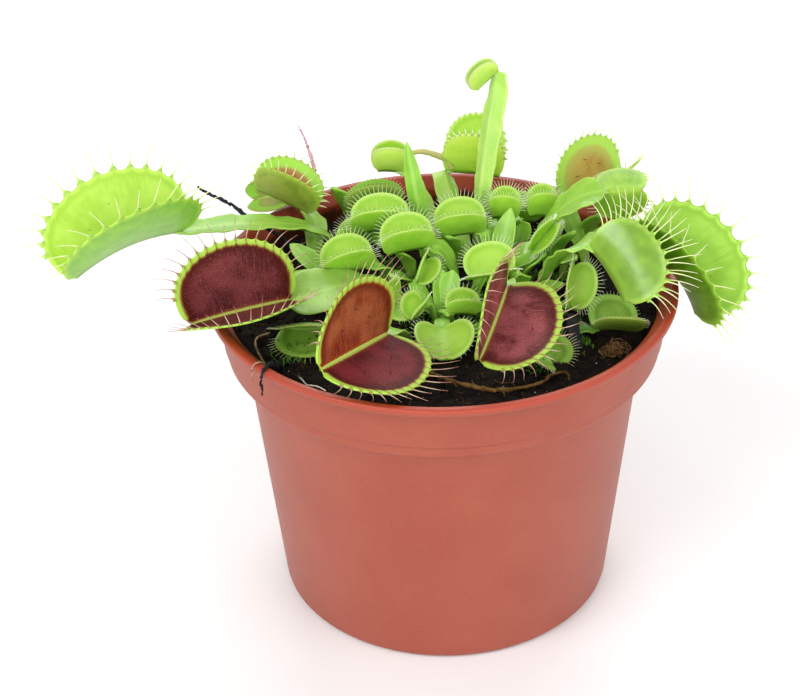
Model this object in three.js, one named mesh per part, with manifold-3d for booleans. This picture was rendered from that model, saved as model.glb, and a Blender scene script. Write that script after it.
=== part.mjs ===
// Potted Venus flytrap (Dionaea muscipula): a clump of leaves in moist peat, in a nursery pot.
// Millimetres, +Z up, origin at the centre of the pot's underside. +X is east, +Y is north.
import * as THREE from "three";
import { mergeVertices } from "three/addons/utils/BufferGeometryUtils.js";
import Module from "manifold-3d";

const wasm = await Module();
wasm.setup();

const DEG = Math.PI / 180;
const Vec = THREE.Vector3;

// ---------------------------------------------------------------- driving dimensions

// Pot: an injection-moulded plastic pot with a rolled lip over a stepped collar.
const POT = {
  height: 66.3,
  lipRadius: 45,
  lipHeight: 1.6,
  lipInnerRadius: 43.6,
  collarRadius: 42.6,
  collarBottom: 53.9,
  collarStep: 2.4, // height of the second, slightly smaller ring under the collar
  collarStepIn: 0.6,
  bodyTopRadius: 38.4,
  baseRadius: 33.1,
  baseRounding: 1.5,
  wall: 1.2,
  segments: 40,
  drainCount: 8,
  drainRadius: 3.2,
  drainRing: 25,
};

// Peat: fills the pot to a little below the rim, with an uneven top.
const SOIL = {
  level: 60.4,
  bump: 0.5,
  wallGap: 0.3,
  holeGap: 0.4,
  seed: 7,
  spokes: 24,
  rings: 3,
};

// Every leaf stands this deep in the peat.
const ROOT_DEPTH = 5;
const BLADE_HALF_THICKNESS = 0.32;
const KEEL_FOLD = 14; // degrees that each half of a leaf stalk's blade rises from flat
const BURIED = 1.2; // how far a stalk's end runs on under the trap that it carries
const NECK_DROP = 0.45; // how far that end is below the midrib, so that it joins from outside

// ---------------------------------------------------------------- materials

const finish = (color, roughness) =>
  new THREE.MeshStandardMaterial({ color, roughness, metalness: 0 });

const MATERIALS = {
  pot: finish("#c0644f", 0.45),
  soil: finish("#241c18", 0.95),
  lime: finish("#9bd63a", 0.5),
  green: finish("#76bf2e", 0.5),
  deepGreen: finish("#5c9a34", 0.55),
  red: finish("#7a2a2a", 0.45),
  amber: finish("#a8913c", 0.5),
  root: finish("#8a6238", 0.8),
  dead: finish("#2c2a30", 0.7),
};

// ---------------------------------------------------------------- solids

/** A closed three.js geometry as a manifold-3d solid, facing out. */
function solidOf(geometry) {
  const bare = (geometry.index ? geometry.toNonIndexed() : geometry).clone();
  const merged = mergeVertices(bareOf(bare), 1e-4);
  return new wasm.Manifold(
    new wasm.Mesh({
      numProp: 3,
      vertProperties: merged.attributes.position.array,
      triVerts: new Uint32Array(merged.index.array),
    }),
  );
}

/** A manifold-3d solid as a three.js geometry. */
function geometryOf(solid) {
  const mesh = solid.getMesh();
  const stride = mesh.numProp;
  const positions = new Float32Array(mesh.numVert * 3);
  for (let i = 0; i < mesh.numVert; i++)
    positions.set(mesh.vertProperties.subarray(i * stride, i * stride + 3), i * 3);
  const geometry = new THREE.BufferGeometry();
  geometry.setAttribute("position", new THREE.BufferAttribute(positions, 3));
  geometry.setIndex(new THREE.BufferAttribute(mesh.triVerts, 1));
  geometry.computeVertexNormals();
  return geometry;
}

/** A solid from points and triangles. The triangles may all face in: they are then turned round. */
function solidFrom(points, triangles) {
  const geometry = new THREE.BufferGeometry().setFromPoints(points);
  geometry.setIndex(triangles.flat());
  const solid = solidOf(geometry);
  if (solid.volume() > 0) return solid;
  geometry.setIndex(triangles.flatMap(([a, b, c]) => [a, c, b]));
  return solidOf(geometry);
}

/** Joins solids into one, and keeps the largest body if a scrap is left loose. */
function fuse(solids) {
  const whole = solids.reduce((sum, solid) => sum.add(solid));
  const bodies = whole.decompose();
  return withoutSlivers(bodies.reduce((big, body) => (body.volume() > big.volume() ? body : big)));
}

const SLIVER = 0.02; // an edge shorter than this is drawn together to one point

/** The solid with its shortest edges drawn together, as a cut leaves edges of no length. */
function withoutSlivers(solid) {
  const mesh = solid.getMesh();
  const stride = mesh.numProp;
  const at = (i) => new Vec(...mesh.vertProperties.subarray(i * stride, i * stride + 3));
  const parent = Array.from({ length: mesh.numVert }, (_, i) => i);
  const top = (i) => {
    while (parent[i] !== i) i = parent[i];
    return i;
  };
  const corners = Array.from(mesh.triVerts);
  for (let i = 0; i < corners.length; i++) {
    const j = i % 3 === 2 ? i - 2 : i + 1;
    const [a, b] = [top(corners[i]), top(corners[j])];
    if (a !== b && at(a).distanceTo(at(b)) < SLIVER) parent[Math.max(a, b)] = Math.min(a, b);
  }
  const faces = new Map(); // keyed by its corners, so that two that fold flat together cancel
  for (let i = 0; i < corners.length; i += 3) {
    const face = corners.slice(i, i + 3).map(top);
    if (new Set(face).size < 3) continue;
    const key = [...face].sort((a, b) => a - b).join();
    if (faces.has(key)) faces.delete(key);
    else faces.set(key, face);
  }
  const points = Array.from({ length: mesh.numVert }, (_, i) => at(i));
  const used = [...new Set([...faces.values()].flat())];
  const place = new Map(used.map((vertex, i) => [vertex, i]));
  const triangles = [...faces.values()].map((face) => face.map((vertex) => place.get(vertex)));
  return solidFrom(used.map((vertex) => points[vertex]), triangles);
}

/** A repeatable random number source, from 0 to 1. */
function randomFrom(seed) {
  let state = seed;
  return () => {
    state = (state * 1664525 + 1013904223) % 4294967296;
    return state / 4294967296;
  };
}

// ---------------------------------------------------------------- pot and peat

function potSolid() {
  const p = POT;
  const collarFoot = p.collarRadius - p.collarStepIn;
  const innerBase = p.baseRadius - p.wall;
  const profile = [
    [0, 0],
    [p.baseRadius - p.baseRounding, 0],
    [p.baseRadius, p.baseRounding],
    [p.bodyTopRadius, p.collarBottom - 1],
    [collarFoot - 0.6, p.collarBottom],
    [collarFoot, p.collarBottom + 0.6],
    [collarFoot, p.collarBottom + p.collarStep],
    [p.collarRadius - 0.1, p.collarBottom + p.collarStep + 0.4],
    [p.collarRadius, p.height - p.lipHeight],
    [p.lipRadius, p.height - p.lipHeight + 0.4],
    [p.lipRadius, p.height - 0.4],
    [p.lipRadius - 0.4, p.height],
    [p.lipInnerRadius, p.height],
    [p.collarRadius - p.wall, p.height - p.lipHeight - 0.6],
    [collarFoot - p.wall, p.collarBottom + 0.8],
    [p.bodyTopRadius - p.wall, p.collarBottom - 1.2],
    [innerBase, p.wall],
    [0, p.wall],
  ].map(([r, z]) => new THREE.Vector2(r, z));
  const shell = new THREE.LatheGeometry(profile, p.segments).rotateX(Math.PI / 2);
  let pot = facingOut(shell);
  for (let i = 0; i < p.drainCount; i++) {
    const angle = ((i + 0.5) / p.drainCount) * 2 * Math.PI;
    const drill = new THREE.CylinderGeometry(p.drainRadius, p.drainRadius, 6, 8)
      .rotateX(Math.PI / 2)
      .translate(Math.cos(angle) * p.drainRing, Math.sin(angle) * p.drainRing, 0);
    pot = pot.subtract(solidOf(drill));
  }
  return withoutSlivers(pot);
}

/** The solid of a closed geometry whose faces may all point in. */
function facingOut(geometry) {
  const flat = geometry.index ? geometry.toNonIndexed() : geometry;
  const solid = solidOf(flat);
  if (solid.volume() > 0) return solid;
  const position = flat.attributes.position;
  for (let i = 0; i < position.count; i += 3) {
    const b = new Vec().fromBufferAttribute(position, i + 1);
    const c = new Vec().fromBufferAttribute(position, i + 2);
    position.setXYZ(i + 1, c.x, c.y, c.z);
    position.setXYZ(i + 2, b.x, b.y, b.z);
  }
  return solidOf(flat);
}

/** Inner radius of the pot at height z. */
function potInnerRadius(z) {
  const p = POT;
  const low = [p.wall, p.baseRadius - p.wall];
  const mid = [p.collarBottom - 1.2, p.bodyTopRadius - p.wall];
  const step = [p.collarBottom + 0.8, p.collarRadius - p.collarStepIn - p.wall];
  const top = [p.height - p.lipHeight - 0.6, p.collarRadius - p.wall];
  const stations = [low, mid, step, top];
  for (let i = 1; i < stations.length; i++) {
    const [z0, r0] = stations[i - 1];
    const [z1, r1] = stations[i];
    if (z <= z1) return r0 + ((r1 - r0) * (z - z0)) / (z1 - z0);
  }
  return top[1];
}

/** The peat: straight-sided to the pot's wall, with a lumpy top, and a plain hole for each stem. */
function soilSolid(holes) {
  const s = SOIL;
  const random = randomFrom(s.seed);
  const gap = s.wallGap;
  const points = [];
  const triangles = [];
  const floor = POT.wall + gap;
  const sides = [floor, POT.collarBottom - 1.2, POT.collarBottom + 0.8 + gap];
  const ring = (radius, z) => {
    const first = points.length;
    for (let i = 0; i < s.spokes; i++) {
      const a = (i / s.spokes) * 2 * Math.PI;
      const height = typeof z === "function" ? z() : z;
      points.push(new Vec(radius * Math.cos(a), radius * Math.sin(a), height));
    }
    return first;
  };
  const join = (a, b) => {
    for (let i = 0; i < s.spokes; i++) {
      const j = (i + 1) % s.spokes;
      triangles.push([a + i, a + j, b + j], [a + i, b + j, b + i]);
    }
  };
  const rings = sides.map((z) => ring(potInnerRadius(z) - gap - 0.1, z));
  const edge = potInnerRadius(s.level) - gap - 0.1;
  for (let i = s.rings; i > 0; i--)
    rings.push(ring((edge * i) / s.rings, () => s.level + (random() - 0.5) * 2 * s.bump));
  rings.slice(1).forEach((b, i) => join(rings[i], b));
  const bottom = points.push(new Vec(0, 0, floor)) - 1;
  const top = points.push(new Vec(0, 0, s.level)) - 1;
  const last = rings[rings.length - 1];
  for (let i = 0; i < s.spokes; i++) {
    const j = (i + 1) % s.spokes;
    triangles.push([bottom, j, i], [top, last + i, last + j]);
  }
  return withoutSlivers(holes.reduce((peat, hole) => peat.subtract(hole), solidFrom(points, triangles)));
}

// ---------------------------------------------------------------- a trap

/** The midrib's start frame: along it, out of the mouth, and to its left. Angles are in degrees. */
function trapFrame({ heading, pitch, roll }) {
  const [h, p, r] = [heading * DEG, pitch * DEG, roll * DEG];
  const along = new Vec(Math.cos(p) * Math.cos(h), Math.cos(p) * Math.sin(h), Math.sin(p));
  const level = new Vec(-Math.sin(p) * Math.cos(h), -Math.sin(p) * Math.sin(h), Math.cos(p));
  const side = new Vec().crossVectors(level, along);
  const mouth = level.clone().multiplyScalar(Math.cos(r)).addScaledVector(side, Math.sin(r));
  const left = side.clone().multiplyScalar(Math.cos(r)).addScaledVector(level, -Math.sin(r));
  return { along, mouth, left };
}

/** Where the midrib is, and its turned frame, x mm from its start: it bends back from the mouth. */
function midribAt(trap, x) {
  const { along, mouth, left } = trapFrame(trap);
  const curvature = (trap.bend * DEG) / trap.length || 1e-6;
  const turn = curvature * x;
  const at = new Vec(...trap.at)
    .addScaledVector(along, Math.sin(turn) / curvature)
    .addScaledVector(mouth, -(1 - Math.cos(turn)) / curvature);
  return {
    at,
    along: along.clone().multiplyScalar(Math.cos(turn)).addScaledVector(mouth, -Math.sin(turn)),
    mouth: mouth.clone().multiplyScalar(Math.cos(turn)).addScaledVector(along, Math.sin(turn)),
    left,
  };
}

/** The angle of a lobe from the mouth's axis, at x along the midrib and share t of its depth. */
function lobeAngle(trap, side, x, t) {
  const open = side > 0 ? trap.open[0] : trap.open[1];
  const ends = (2 * x) / trap.length - 1;
  return (open - trap.pinch * ends * ends + trap.cup * (0.5 - t)) * DEG;
}

/** A point of a lobe, height h mm from the midrib. side is 1 on the left and -1 on the right. */
function lobePoint(trap, side, x, h) {
  const { at, mouth, left } = midribAt(trap, x);
  const cup = trap.cup * DEG || 1e-6;
  const radius = trap.depth / cup;
  const root = lobeAngle(trap, side, x, 0);
  const here = lobeAngle(trap, side, x, h / trap.depth);
  return at
    .addScaledVector(mouth, radius * (Math.sin(root) - Math.sin(here)))
    .addScaledVector(left, side * radius * (Math.cos(here) - Math.cos(root)));
}

const LOBE_END = 14 * DEG; // the outline's angle where a lobe leaves the midrib
const LOBE_SQUARENESS = 0.75; // 1 is half an ellipse, and less is squarer

/** A lobe's flat outline at angle a: x along the midrib, height h, and the way that it faces. */
function outlineAt(trap, a) {
  const reach = trap.length / 2 + trap.over;
  return {
    foot: (trap.length / 2) * (1 - Math.cos(a)),
    x: trap.length / 2 - reach * Math.cos(a),
    h: trap.depth * Math.sin(a) ** LOBE_SQUARENESS,
    face: [-Math.cos(a), Math.sin(a)],
  };
}

/** The lobe's point at outline angle a, share t of the way from the midrib to the margin. */
function lobeSurface(trap, side, a, t) {
  const { foot, x, h } = outlineAt(trap, a);
  return lobePoint(trap, side, foot + (x - foot) * t, h * t);
}

/** The lobe's inward normal there. */
function lobeNormal(trap, side, a, t) {
  if (t === 0) return midribAt(trap, outlineAt(trap, a).foot).mouth;
  const step = 0.02;
  const across = lobeSurface(trap, side, a, t).sub(lobeSurface(trap, side, a, t - step));
  const along = lobeSurface(trap, side, a + step, t).sub(lobeSurface(trap, side, a - step, t));
  return along.cross(across).multiplyScalar(side).normalize();
}

/** The two lobes as one closed shell, with a spine at each tooth of their margins. */
function trapSolid(trap) {
  const points = [];
  const triangles = [];
  const half = BLADE_HALF_THICKNESS;
  // Each surface point is a pair: its inner face, then its outer face.
  const pair = (side, a, t) => {
    const at = lobeSurface(trap, side, a, t);
    const normal = lobeNormal(trap, side, a, t);
    const thick = half * (t === 0 ? 1.4 : 1);
    points.push(at.clone().addScaledVector(normal, thick));
    points.push(at.clone().addScaledVector(normal, -thick));
    return points.length - 2;
  };
  const units = trap.teeth;
  const span = Math.PI - 2 * LOBE_END;
  const edgeAngle = (unit) => LOBE_END + (span * unit) / units;
  const spread = trap.toothBase / 2;
  const midrib = [];
  for (let j = 0; j <= units; j++) midrib.push(pair(1, edgeAngle(j), 0));

  const face = (a, b, c, side) => {
    const [p, q, r] = side > 0 ? [a, b, c] : [a, c, b];
    triangles.push([p, q, r], [p + 1, r + 1, q + 1]);
  };
  const wall = (a, b, side) => {
    const [p, q] = side > 0 ? [a, b] : [b, a];
    triangles.push([p, p + 1, q + 1], [p, q + 1, q]);
  };
  for (const side of [1, -1]) {
    const shift = trap.interlock * side; // moves the teeth along, so that closed margins mesh
    const rows = [midrib];
    for (const t of trap.rows)
      rows.push(Array.from({ length: units + 1 }, (_, j) => pair(side, edgeAngle(j), t)));
    rows.slice(1).forEach((row, i) => {
      for (let j = 0; j < units; j++) {
        face(rows[i][j], row[j], row[j + 1], side);
        face(rows[i][j], row[j + 1], rows[i][j + 1], side);
      }
    });
    const inner = rows[rows.length - 1];
    const margin = [pair(side, edgeAngle(0), 1)];
    for (let j = 0; j < units; j++) {
      const middle = j + 0.5 + shift;
      margin.push(pair(side, edgeAngle(middle - spread), 1));
      margin.push(pair(side, edgeAngle(middle + spread), 1));
    }
    margin.push(pair(side, edgeAngle(units), 1));
    for (let j = 0; j < units; j++) {
      const [before, start, end] = margin.slice(2 * j, 2 * j + 3);
      face(inner[j], before, start, side);
      face(inner[j], start, end, side);
      face(inner[j], end, inner[j + 1], side);
      wall(before, start, side);
      const tip = points.push(spineTip(trap, side, edgeAngle(j + 0.5 + shift), j)) - 1;
      const [p, q] = side > 0 ? [start, end] : [end, start];
      triangles.push([p, p + 1, tip], [p + 1, q + 1, tip], [q + 1, q, tip], [q, p, tip]);
    }
    const last = margin.length - 1;
    face(inner[units], margin[last - 1], margin[last], side);
    wall(margin[last - 1], margin[last], side);
    const ends = [...rows.map((row) => row[0]), margin[0]];
    const tips = [...rows.map((row) => row[units]), margin[last]];
    for (let i = 1; i < ends.length; i++) {
      wall(ends[i - 1], ends[i], side);
      wall(tips[i], tips[i - 1], side);
    }
  }
  return solidFrom(points, triangles);
}

/** The tip of the spine at outline angle a: it runs on from the lobe and leans in over the mouth. */
function spineTip(trap, side, a, index) {
  const { x, h, face } = outlineAt(trap, a);
  const frame = midribAt(trap, x);
  const lean = lobeAngle(trap, side, x, h / trap.depth) - trap.curl * DEG;
  const length = trap.tooth * (0.55 + 0.45 * Math.sin(a)) * (index % 2 ? 0.88 : 1);
  return lobeSurface(trap, side, a, 1)
    .addScaledVector(frame.along, face[0] * length)
    .addScaledVector(frame.mouth, face[1] * Math.cos(lean) * length)
    .addScaledVector(frame.left, face[1] * Math.sin(lean) * side * length);
}

// ---------------------------------------------------------------- a leaf

const TRAP_DEFAULTS = {
  heading: 0,
  pitch: 0,
  roll: 0,
  bend: 20,
  length: 14,
  depth: 8,
  over: 1.2, // how far the lobes reach past the midrib's ends
  open: [35, 35],
  cup: 25,
  pinch: 8,
  curl: 30,
  teeth: 8,
  tooth: 3,
  toothBase: 0.34, // share of a tooth's pitch that its spine's foot takes
  interlock: 0,
  rows: [0.5],
};

const STALK_DEFAULTS = {
  rise: 8, // the way that the stalk first grows, straight up
  lean: [0, 0], // and the way that it leans meanwhile
  arrive: 8, // the way that it runs in line with the midrib
  stem: 0.9, // half width at the foot
  width: 5, // full width of the blade at its widest
  widest: 0.72, // share of the stalk's length at which that is
  neck: 0.7, // half width where the trap hangs
  thick: 0.5, // half thickness at the keel
  turn: null, // degrees that the blade has turned at its far end; as the trap, if null
  steps: 7,
};

const YOUNG = { length: 9, depth: 7, open: [32, 32], teeth: 7, tooth: 1.8, over: 1.5, curl: 10, rows: [] };
const SMALL = { length: 6, depth: 5, open: [30, 30], teeth: 5, tooth: 1.2, over: 1, curl: 10, rows: [] };
const YOUNG_STALK = { stem: 0.7, width: 5, neck: 0.6, rise: 5, arrive: 3, steps: 5 };
const SMALL_STALK = { stem: 0.6, width: 3, neck: 0.5, rise: 4, arrive: 2, steps: 4 };

const completed = (leaf) => ({
  ...leaf,
  trap: { ...TRAP_DEFAULTS, ...leaf.trap },
  stalk: { ...STALK_DEFAULTS, ...leaf.stalk },
});

/** The stalk's centre line, from the peat's surface to the trap. */
function stalkCurve({ root, stalk, trap }) {
  const foot = new Vec(root[0], root[1], SOIL.level);
  const { along } = trapFrame(trap);
  const end = new Vec(...trap.at);
  return new THREE.CubicBezierCurve3(
    foot,
    foot.clone().add(new Vec(...stalk.lean, stalk.rise)),
    end.clone().addScaledVector(along, -stalk.arrive),
    end,
  );
}

/** Half width of the stalk at share s of its length: a stem that widens to a blade, then a neck. */
function stalkHalfWidth({ stem, width, widest, neck }, s) {
  const half = width / 2;
  if (s > widest) {
    const past = (s - widest) / (1 - widest);
    return neck + (half - neck) * Math.sqrt(Math.max(0, 1 - past ** 2.4));
  }
  const rise = s / widest;
  return stem + (half - stem) * rise * rise * (3 - 2 * rise);
}

/** A tube with six-sided sections: stations give its centre, two axes and half sizes. */
function hexTube(stations) {
  const points = [];
  const triangles = [];
  for (const { at, across, up, half, thick, edge } of stations) {
    const fold = half * Math.tan(KEEL_FOLD * DEG);
    const rim = (side, level) =>
      at.clone().addScaledVector(across, side * half).addScaledVector(up, fold + level * edge);
    points.push(
      rim(1, -1),
      rim(1, 1),
      at.clone().addScaledVector(up, thick),
      rim(-1, 1),
      rim(-1, -1),
      at.clone().addScaledVector(up, -thick),
    );
  }
  const sides = 6;
  for (let i = 1; i < stations.length; i++)
    for (let j = 0; j < sides; j++) {
      const k = (j + 1) % sides;
      const [a, b] = [(i - 1) * sides, i * sides];
      triangles.push([a + j, a + k, b + k], [a + j, b + k, b + j]);
    }
  const end = (stations.length - 1) * sides;
  const cap = [[0, 5, 1], [1, 5, 2], [2, 5, 3], [3, 5, 4]];
  for (const [a, b, c] of cap) {
    triangles.push([a, b, c], [end + a, end + c, end + b]);
  }
  return solidFrom(points, triangles);
}

/** The stalk as a solid, from its buried foot to a keel that runs on under the trap. */
function stalkSolid(leaf) {
  const { stalk, trap, root } = leaf;
  const curve = stalkCurve(leaf);
  const end = new Vec(...trap.at);
  const level = new Vec(root[1] - end.y, end.x - root[0], 0).normalize(); // across the stalk at its foot
  const turn = stalk.turn ?? trap.roll;
  const across = trapFrame({ ...trap, roll: turn }).left;
  if (across.dot(level) < 0) level.negate();
  const stations = [];
  const station = (at, along, half, thick, side) => {
    const flat = side.clone().addScaledVector(along, -side.dot(along)).normalize();
    const up = new Vec().crossVectors(along, flat);
    stations.push({ at, across: flat, up, half, thick, edge: Math.min(BLADE_HALF_THICKNESS, thick) });
  };
  const foot = curve.getPoint(0);
  const upright = new Vec(0, 0, 1);
  const stemThick = Math.max(stalk.thick, stalk.stem * 0.8);
  station(foot.clone().setZ(foot.z - ROOT_DEPTH), upright, stalk.stem, stemThick, level);
  for (let i = 0; i < stalk.steps; i++) {
    const s = i / stalk.steps;
    const thick = stemThick + (stalk.thick - stemThick) * s;
    const side = level.clone().lerp(across, s * s);
    station(curve.getPoint(s), curve.getTangent(s), stalkHalfWidth(stalk, s), thick, side);
  }
  for (const x of [-0.4, BURIED]) {
    const { at, along, mouth } = midribAt(trap, x);
    station(at.addScaledVector(mouth, -NECK_DROP), along, stalk.neck, stalk.thick, across);
  }
  return hexTube(stations);
}

/** A whole leaf: its stalk and its trap in one. */
const leafSolid = (leaf) => fuse([stalkSolid(leaf), trapSolid(leaf.trap)]);

/** A plain round hole in the peat for a stem. */
function stemHole([x, y], radius, depth = ROOT_DEPTH + SOIL.holeGap) {
  const height = depth + 4;
  const drill = new THREE.CylinderGeometry(radius, radius, height, 8)
    .rotateX(Math.PI / 2)
    .translate(x, y, SOIL.level - depth + height / 2);
  return solidOf(drill);
}

/** A leaf without a trap yet: a blade from the peat that narrows to a point. */
function bladeSolid({ root, tip, rise = 6, lean = [0, 0], width = 4, stem = 0.7, sag = 0, faces, steps = 5 }) {
  const foot = new Vec(root[0], root[1], SOIL.level);
  const end = new Vec(...tip);
  const late = foot.clone().lerp(end, 0.7).add(new Vec(0, 0, sag));
  const curve = new THREE.CubicBezierCurve3(foot, foot.clone().add(new Vec(...lean, rise)), late, end);
  const side = faces
    ? new Vec(Math.cos(faces * DEG), Math.sin(faces * DEG), 0)
    : new Vec(root[1] - end.y, end.x - root[0], 0).normalize();
  const stations = [];
  const station = (at, along, half) => {
    const across = side.clone().addScaledVector(along, -side.dot(along)).normalize();
    const up = new Vec().crossVectors(along, across);
    stations.push({ at, across, up, half, thick: 0.45, edge: BLADE_HALF_THICKNESS });
  };
  station(foot.clone().setZ(foot.z - ROOT_DEPTH), new Vec(0, 0, 1), stem);
  for (let i = 0; i <= steps; i++) {
    const s = i / steps;
    const bulge = Math.sin(Math.PI * Math.min(1, s * 0.55 + 0.45 * s * s)) ** 0.8;
    station(curve.getPoint(s), curve.getTangent(s), Math.max(0.35, stem * (1 - s) + (width / 2) * bulge));
  }
  return hexTube(stations);
}

/** The rhizome that a rosette's leaves grow from: a rounded stub that stands in the peat. */
function crownSolid([x, y], radius) {
  const profile = [
    [0, -ROOT_DEPTH],
    [radius, -ROOT_DEPTH],
    [radius, 0.6],
    [radius * 0.6, 1.6],
    [0, 2],
  ].map(([r, z]) => new THREE.Vector2(r, z));
  const crown = new THREE.LatheGeometry(profile, 8).rotateX(Math.PI / 2).translate(x, y, SOIL.level);
  return facingOut(crown);
}

/** A bent round stem through the points: a dead stalk or a root. */
function stemSolid(points, radius, segments) {
  const ring = new THREE.Shape().absarc(0, 0, radius, 0, 2 * Math.PI, false);
  const geometry = new THREE.ExtrudeGeometry(ring, {
    steps: segments,
    curveSegments: 3,
    bevelEnabled: false,
    extrudePath: new THREE.CatmullRomCurve3(points.map((point) => new Vec(...point))),
  });
  return facingOut(geometry);
}

/** A tangled lump of dead moss: a ball that is squashed and dented by a seeded rule. */
function tangleSolid([x, y, z], [sx, sy, sz], seed) {
  const random = randomFrom(seed);
  const ball = mergeVertices(bareOf(new THREE.IcosahedronGeometry(1, 1)), 1e-3);
  const position = ball.attributes.position;
  for (let i = 0; i < position.count; i++) {
    const size = 0.7 + 0.45 * random();
    const point = new Vec().fromBufferAttribute(position, i).multiplyScalar(size);
    position.setXYZ(i, x + point.x * sx, y + point.y * sy, z + point.z * sz);
  }
  return solidOf(ball);
}

/** The geometry without normals and texture coordinates. */
function bareOf(geometry) {
  geometry.deleteAttribute("normal");
  geometry.deleteAttribute("uv");
  return geometry;
}

// ---------------------------------------------------------------- the leaves

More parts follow.
